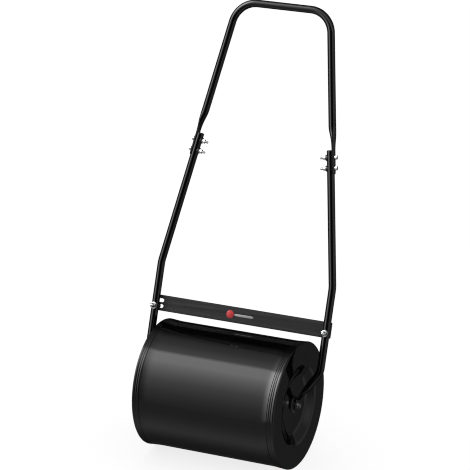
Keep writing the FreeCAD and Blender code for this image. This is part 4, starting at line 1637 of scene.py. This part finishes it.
@dataclass(frozen=True)
class Studio:
    """The floor, the soft light and the camera.

    The glow holds how bright the studio's walls look in the gloss at angles from the front
    horizon over the top to the back, and down to the floor; the sides hold how that changes
    from the left (-1) to the right (1) above the front horizon.  A span is where a measure
    starts and ends, then the values there, 0 and 1 when left out: above says where the sides
    count, gap where the ground behind is dark, panel how the low panel behind the right end
    brightens, and end_walls how bright the walls beyond the drum's ends are.
    """

    aim: tuple[float, float, float] = (0.0044, 0.0276, 0.5685)
    azimuth: float = math.radians(24.73)
    elevation: float = math.radians(19.354)
    distance: float = 6.4
    lens: float = 200.67
    floor_size: float = 40.0
    brightest: float = 4.0
    sides: tuple[tuple[float, float], ...] = (
        (-1.0, 0.15), (-0.9, 0.5), (-0.8, 2.6), (-0.68, 3.9), (-0.56, 3.3), (-0.44, 1.15),
        (-0.36, 0.96), (-0.3, 0.7), (-0.12, 0.12), (0.05, 0.02), (0.45, 0.005), (0.72, 0.03),
        (0.88, 0.4), (1.0, 0.6))
    glow: tuple[tuple[float, float], ...] = (
        (-180, 0.004), (-165, 0.068), (-150, 0.068), (-105, 0.06), (-93, 0.11), (-81, 0.235),
        (-69, 0.41), (-57, 0.42), (-45, 0.34), (-33, 0.29), (-21, 0.30), (-9, 0.40), (3, 0.55),
        (15, 0.8), (27, 1.1), (39, 1.7), (51, 2.5), (62, 3.4), (77, 3.4), (83, 1.15), (99, 0.6),
        (111, 0.4), (123, 0.12), (134, 0.006), (165, 0.004), (180, 0.004))
    above: tuple[Span, ...] = ((-0.36, -0.20), (2.3, 1.7), (0.6, 1.1, 1.0, 0.6))
    gap: tuple[Span, ...] = ((0.33, 0.2, 0.0, 0.95), (-0.26, -0.36, 0.0, 0.45))
    panel: tuple[Span, ...] = ((0.41, 0.5, 0.0, 0.15), (0.55, 0.8, 0.0, 0.07))
    end_walls: Span = (-0.5, 0.5, 0.15, 0.55)
    floor_grey: float = 0.22
    floor_glow: float = 0.80
    lamp_spot: tuple[float, float, float] = (-2.2, -2.8, 3.6)
    lamp_size: float = 2.4
    lamp_power: float = 12.0
    edge_softness: float = 1.1

    def camera(self) -> None:
        """Place the camera and make it the scene's own."""
        lens = bpy.data.cameras.new("camera")
        lens.lens = self.lens
        lens.sensor_width = 36.0
        lens.clip_end = 100.0
        camera = bpy.data.objects.new("camera", lens)
        back = Vector((math.sin(self.azimuth) * math.cos(self.elevation),
                       -math.cos(self.azimuth) * math.cos(self.elevation),
                       math.sin(self.elevation)))
        camera.location = Vector(self.aim) + back * self.distance
        camera.rotation_euler = (math.pi / 2 - self.elevation, 0.0, self.azimuth)
        bpy.context.scene.collection.objects.link(camera)
        bpy.context.scene.camera = camera

    def ramp(self, wires: Wiring, place: bpy.types.NodeSocket,
             values: Sequence[tuple[float, float]],
             to_ramp: Callable[[float], float]) -> bpy.types.NodeSocket:
        """Add a ramp of brightness along a measure.

        Args:
            wires: the world's wiring.
            place: the measure, from 0 to 1.
            values: (measure, brightness) stops in order.
            to_ramp: how a stop's measure becomes a place from 0 to 1.

        Returns:
            The brightness at the measure.
        """
        ramp = wires.node("ShaderNodeValToRGB", {"Fac": place})
        stops = ramp.color_ramp.elements
        stops.remove(stops[1])
        for number, (measure, glow) in enumerate(values):
            stop = stops.new(to_ramp(measure)) if number else stops[0]
            stop.position = to_ramp(measure)
            stop.color = (*grey(glow / self.brightest), 1.0)
        return wires.math("MULTIPLY", ramp.outputs[0], self.brightest)

    def walls(self, wires: Wiring, heading: bpy.types.NodeSocket) -> bpy.types.NodeSocket:
        """Add the brightness that the gloss sees along a heading.

        Args:
            wires: the world's wiring.
            heading: the direction that the gloss looks in.

        Returns:
            The brightness of the walls, the ceiling and the ground.
        """
        right, back, up = wires.node("ShaderNodeSeparateXYZ", {0: heading}).outputs
        height = wires.math("ABSOLUTE", up)
        around = wires.math("ARCTAN2", up, wires.math("MULTIPLY", back, -1.0))
        turn = wires.math("ADD", wires.math("DIVIDE", around, TURN), 0.5)
        glow = self.ramp(wires, turn, self.glow, lambda angle: (angle + 180.0) / 360.0)
        sideways = self.ramp(wires, wires.math("MULTIPLY_ADD", right, 0.5, 0.5), self.sides,
                             lambda reach: (reach + 1.0) / 2)
        above = wires.product(*(wires.span(around, *span) for span in self.above))
        glow = wires.product(glow, wires.math("MULTIPLY_ADD", above,
                                              wires.math("SUBTRACT", sideways, 1.0), 1.0))
        gap = wires.math("SUBTRACT", *(wires.span(right, *span) for span in self.gap))
        ground = wires.product(wires.span(back, 0.2, 0.5), wires.span(up, 0.1, -0.1), gap)
        glow = wires.product(glow, wires.math("SUBTRACT", 1.0, ground))
        panel = wires.math("ADD", *(wires.span(right, *span) for span in self.panel))
        panel = wires.product(wires.span(back, 0.2, 0.6), wires.span(height, 0.75, 0.45), panel)
        glow = wires.math("ADD", glow, panel)
        end = wires.product(wires.span(right, *self.end_walls), wires.span(up, -0.5, 0.1, 0.3, 1.0))
        beside = wires.span(wires.math("ABSOLUTE", right), 0.80, 0.93)
        between = wires.math("SUBTRACT", 1.0, beside)
        return wires.math("ADD", wires.product(glow, between), wires.product(end, beside))

    def world(self) -> None:
        """Light the studio: white to the eye, even for matt light, shaped walls for gloss."""
        world = bpy.data.worlds.new("studio")
        bpy.context.scene.world = world
        world.use_nodes = True
        world.node_tree.nodes.clear()
        world.cycles.sampling_method = "NONE"
        wires = Wiring(world.node_tree)
        gloss = self.walls(wires, wires.node("ShaderNodeTexCoord").outputs["Generated"])
        is_gloss = wires.node("ShaderNodeLightPath").outputs["Is Glossy Ray"]
        strength = wires.math("ADD", wires.product(gloss, is_gloss),
                              wires.math("SUBTRACT", 1.0, is_gloss))
        sky = wires.node("ShaderNodeBackground", {"Color": (1.0, 1.0, 1.0, 1.0),
                                                  "Strength": strength})
        wires.node("ShaderNodeOutputWorld", {"Surface": sky.outputs[0]})

    def floor(self) -> None:
        """Lay the plain pale floor."""
        shape = Shape()
        bmesh.ops.create_grid(shape.bm, x_segments=2, y_segments=2, size=self.floor_size / 2)
        floor = shape.to_object("studio_floor")
        paint = bpy.data.materials.new("pale_floor")
        paint.use_nodes = True
        shader = paint.node_tree.nodes["Principled BSDF"]
        shader.inputs["Base Color"].default_value = (*grey(self.floor_grey), 1.0)
        shader.inputs["Roughness"].default_value = 0.9
        shader.inputs["Specular IOR Level"].default_value = 0.0
        shader.inputs["Emission Color"].default_value = (1.0, 1.0, 1.0, 1.0)
        shader.inputs["Emission Strength"].default_value = self.floor_glow
        floor.data.materials.append(paint)
        floor.visible_glossy = False

    def lamp(self) -> None:
        """Hang the soft square lamp, which doesn't show in the roller's gloss."""
        data = bpy.data.lights.new("key_light", "AREA")
        data.shape = "SQUARE"
        data.size = self.lamp_size
        data.energy = self.lamp_power
        lamp = bpy.data.objects.new("key_light", data)
        lamp.location = self.lamp_spot
        ahead = Vector(self.aim) - lamp.location
        lamp.rotation_euler = ahead.to_track_quat("-Z", "Y").to_euler()
        lamp.visible_glossy = False
        bpy.context.scene.collection.objects.link(lamp)

    def build(self) -> None:
        """Set up the whole studio."""
        bpy.context.scene.view_settings.view_transform = "Standard"
        bpy.context.scene.cycles.filter_width = self.edge_softness
        self.camera()
        self.world()
        self.floor()
        self.lamp()
        LOG.info("studio ready")


def main() -> None:
    """Build the roller's sub-assemblies in order, then the studio round them."""
    logging.basicConfig(level=logging.INFO, format="%(name)s: %(message)s")
    low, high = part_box("axle_rod")
    layout = Layout(axle_height=(low.z + high.z) / 2)
    shop = Paintshop()
    for assembly in (Drum, Filler, AxleEnds, LowerTubes, GripTube, TubePlugs, Scraper, LegJoints):
        assembly(layout, shop).build()
        LOG.info("%s done", assembly.__name__)
    Studio().build()


if __name__ == "__main__":
    main()
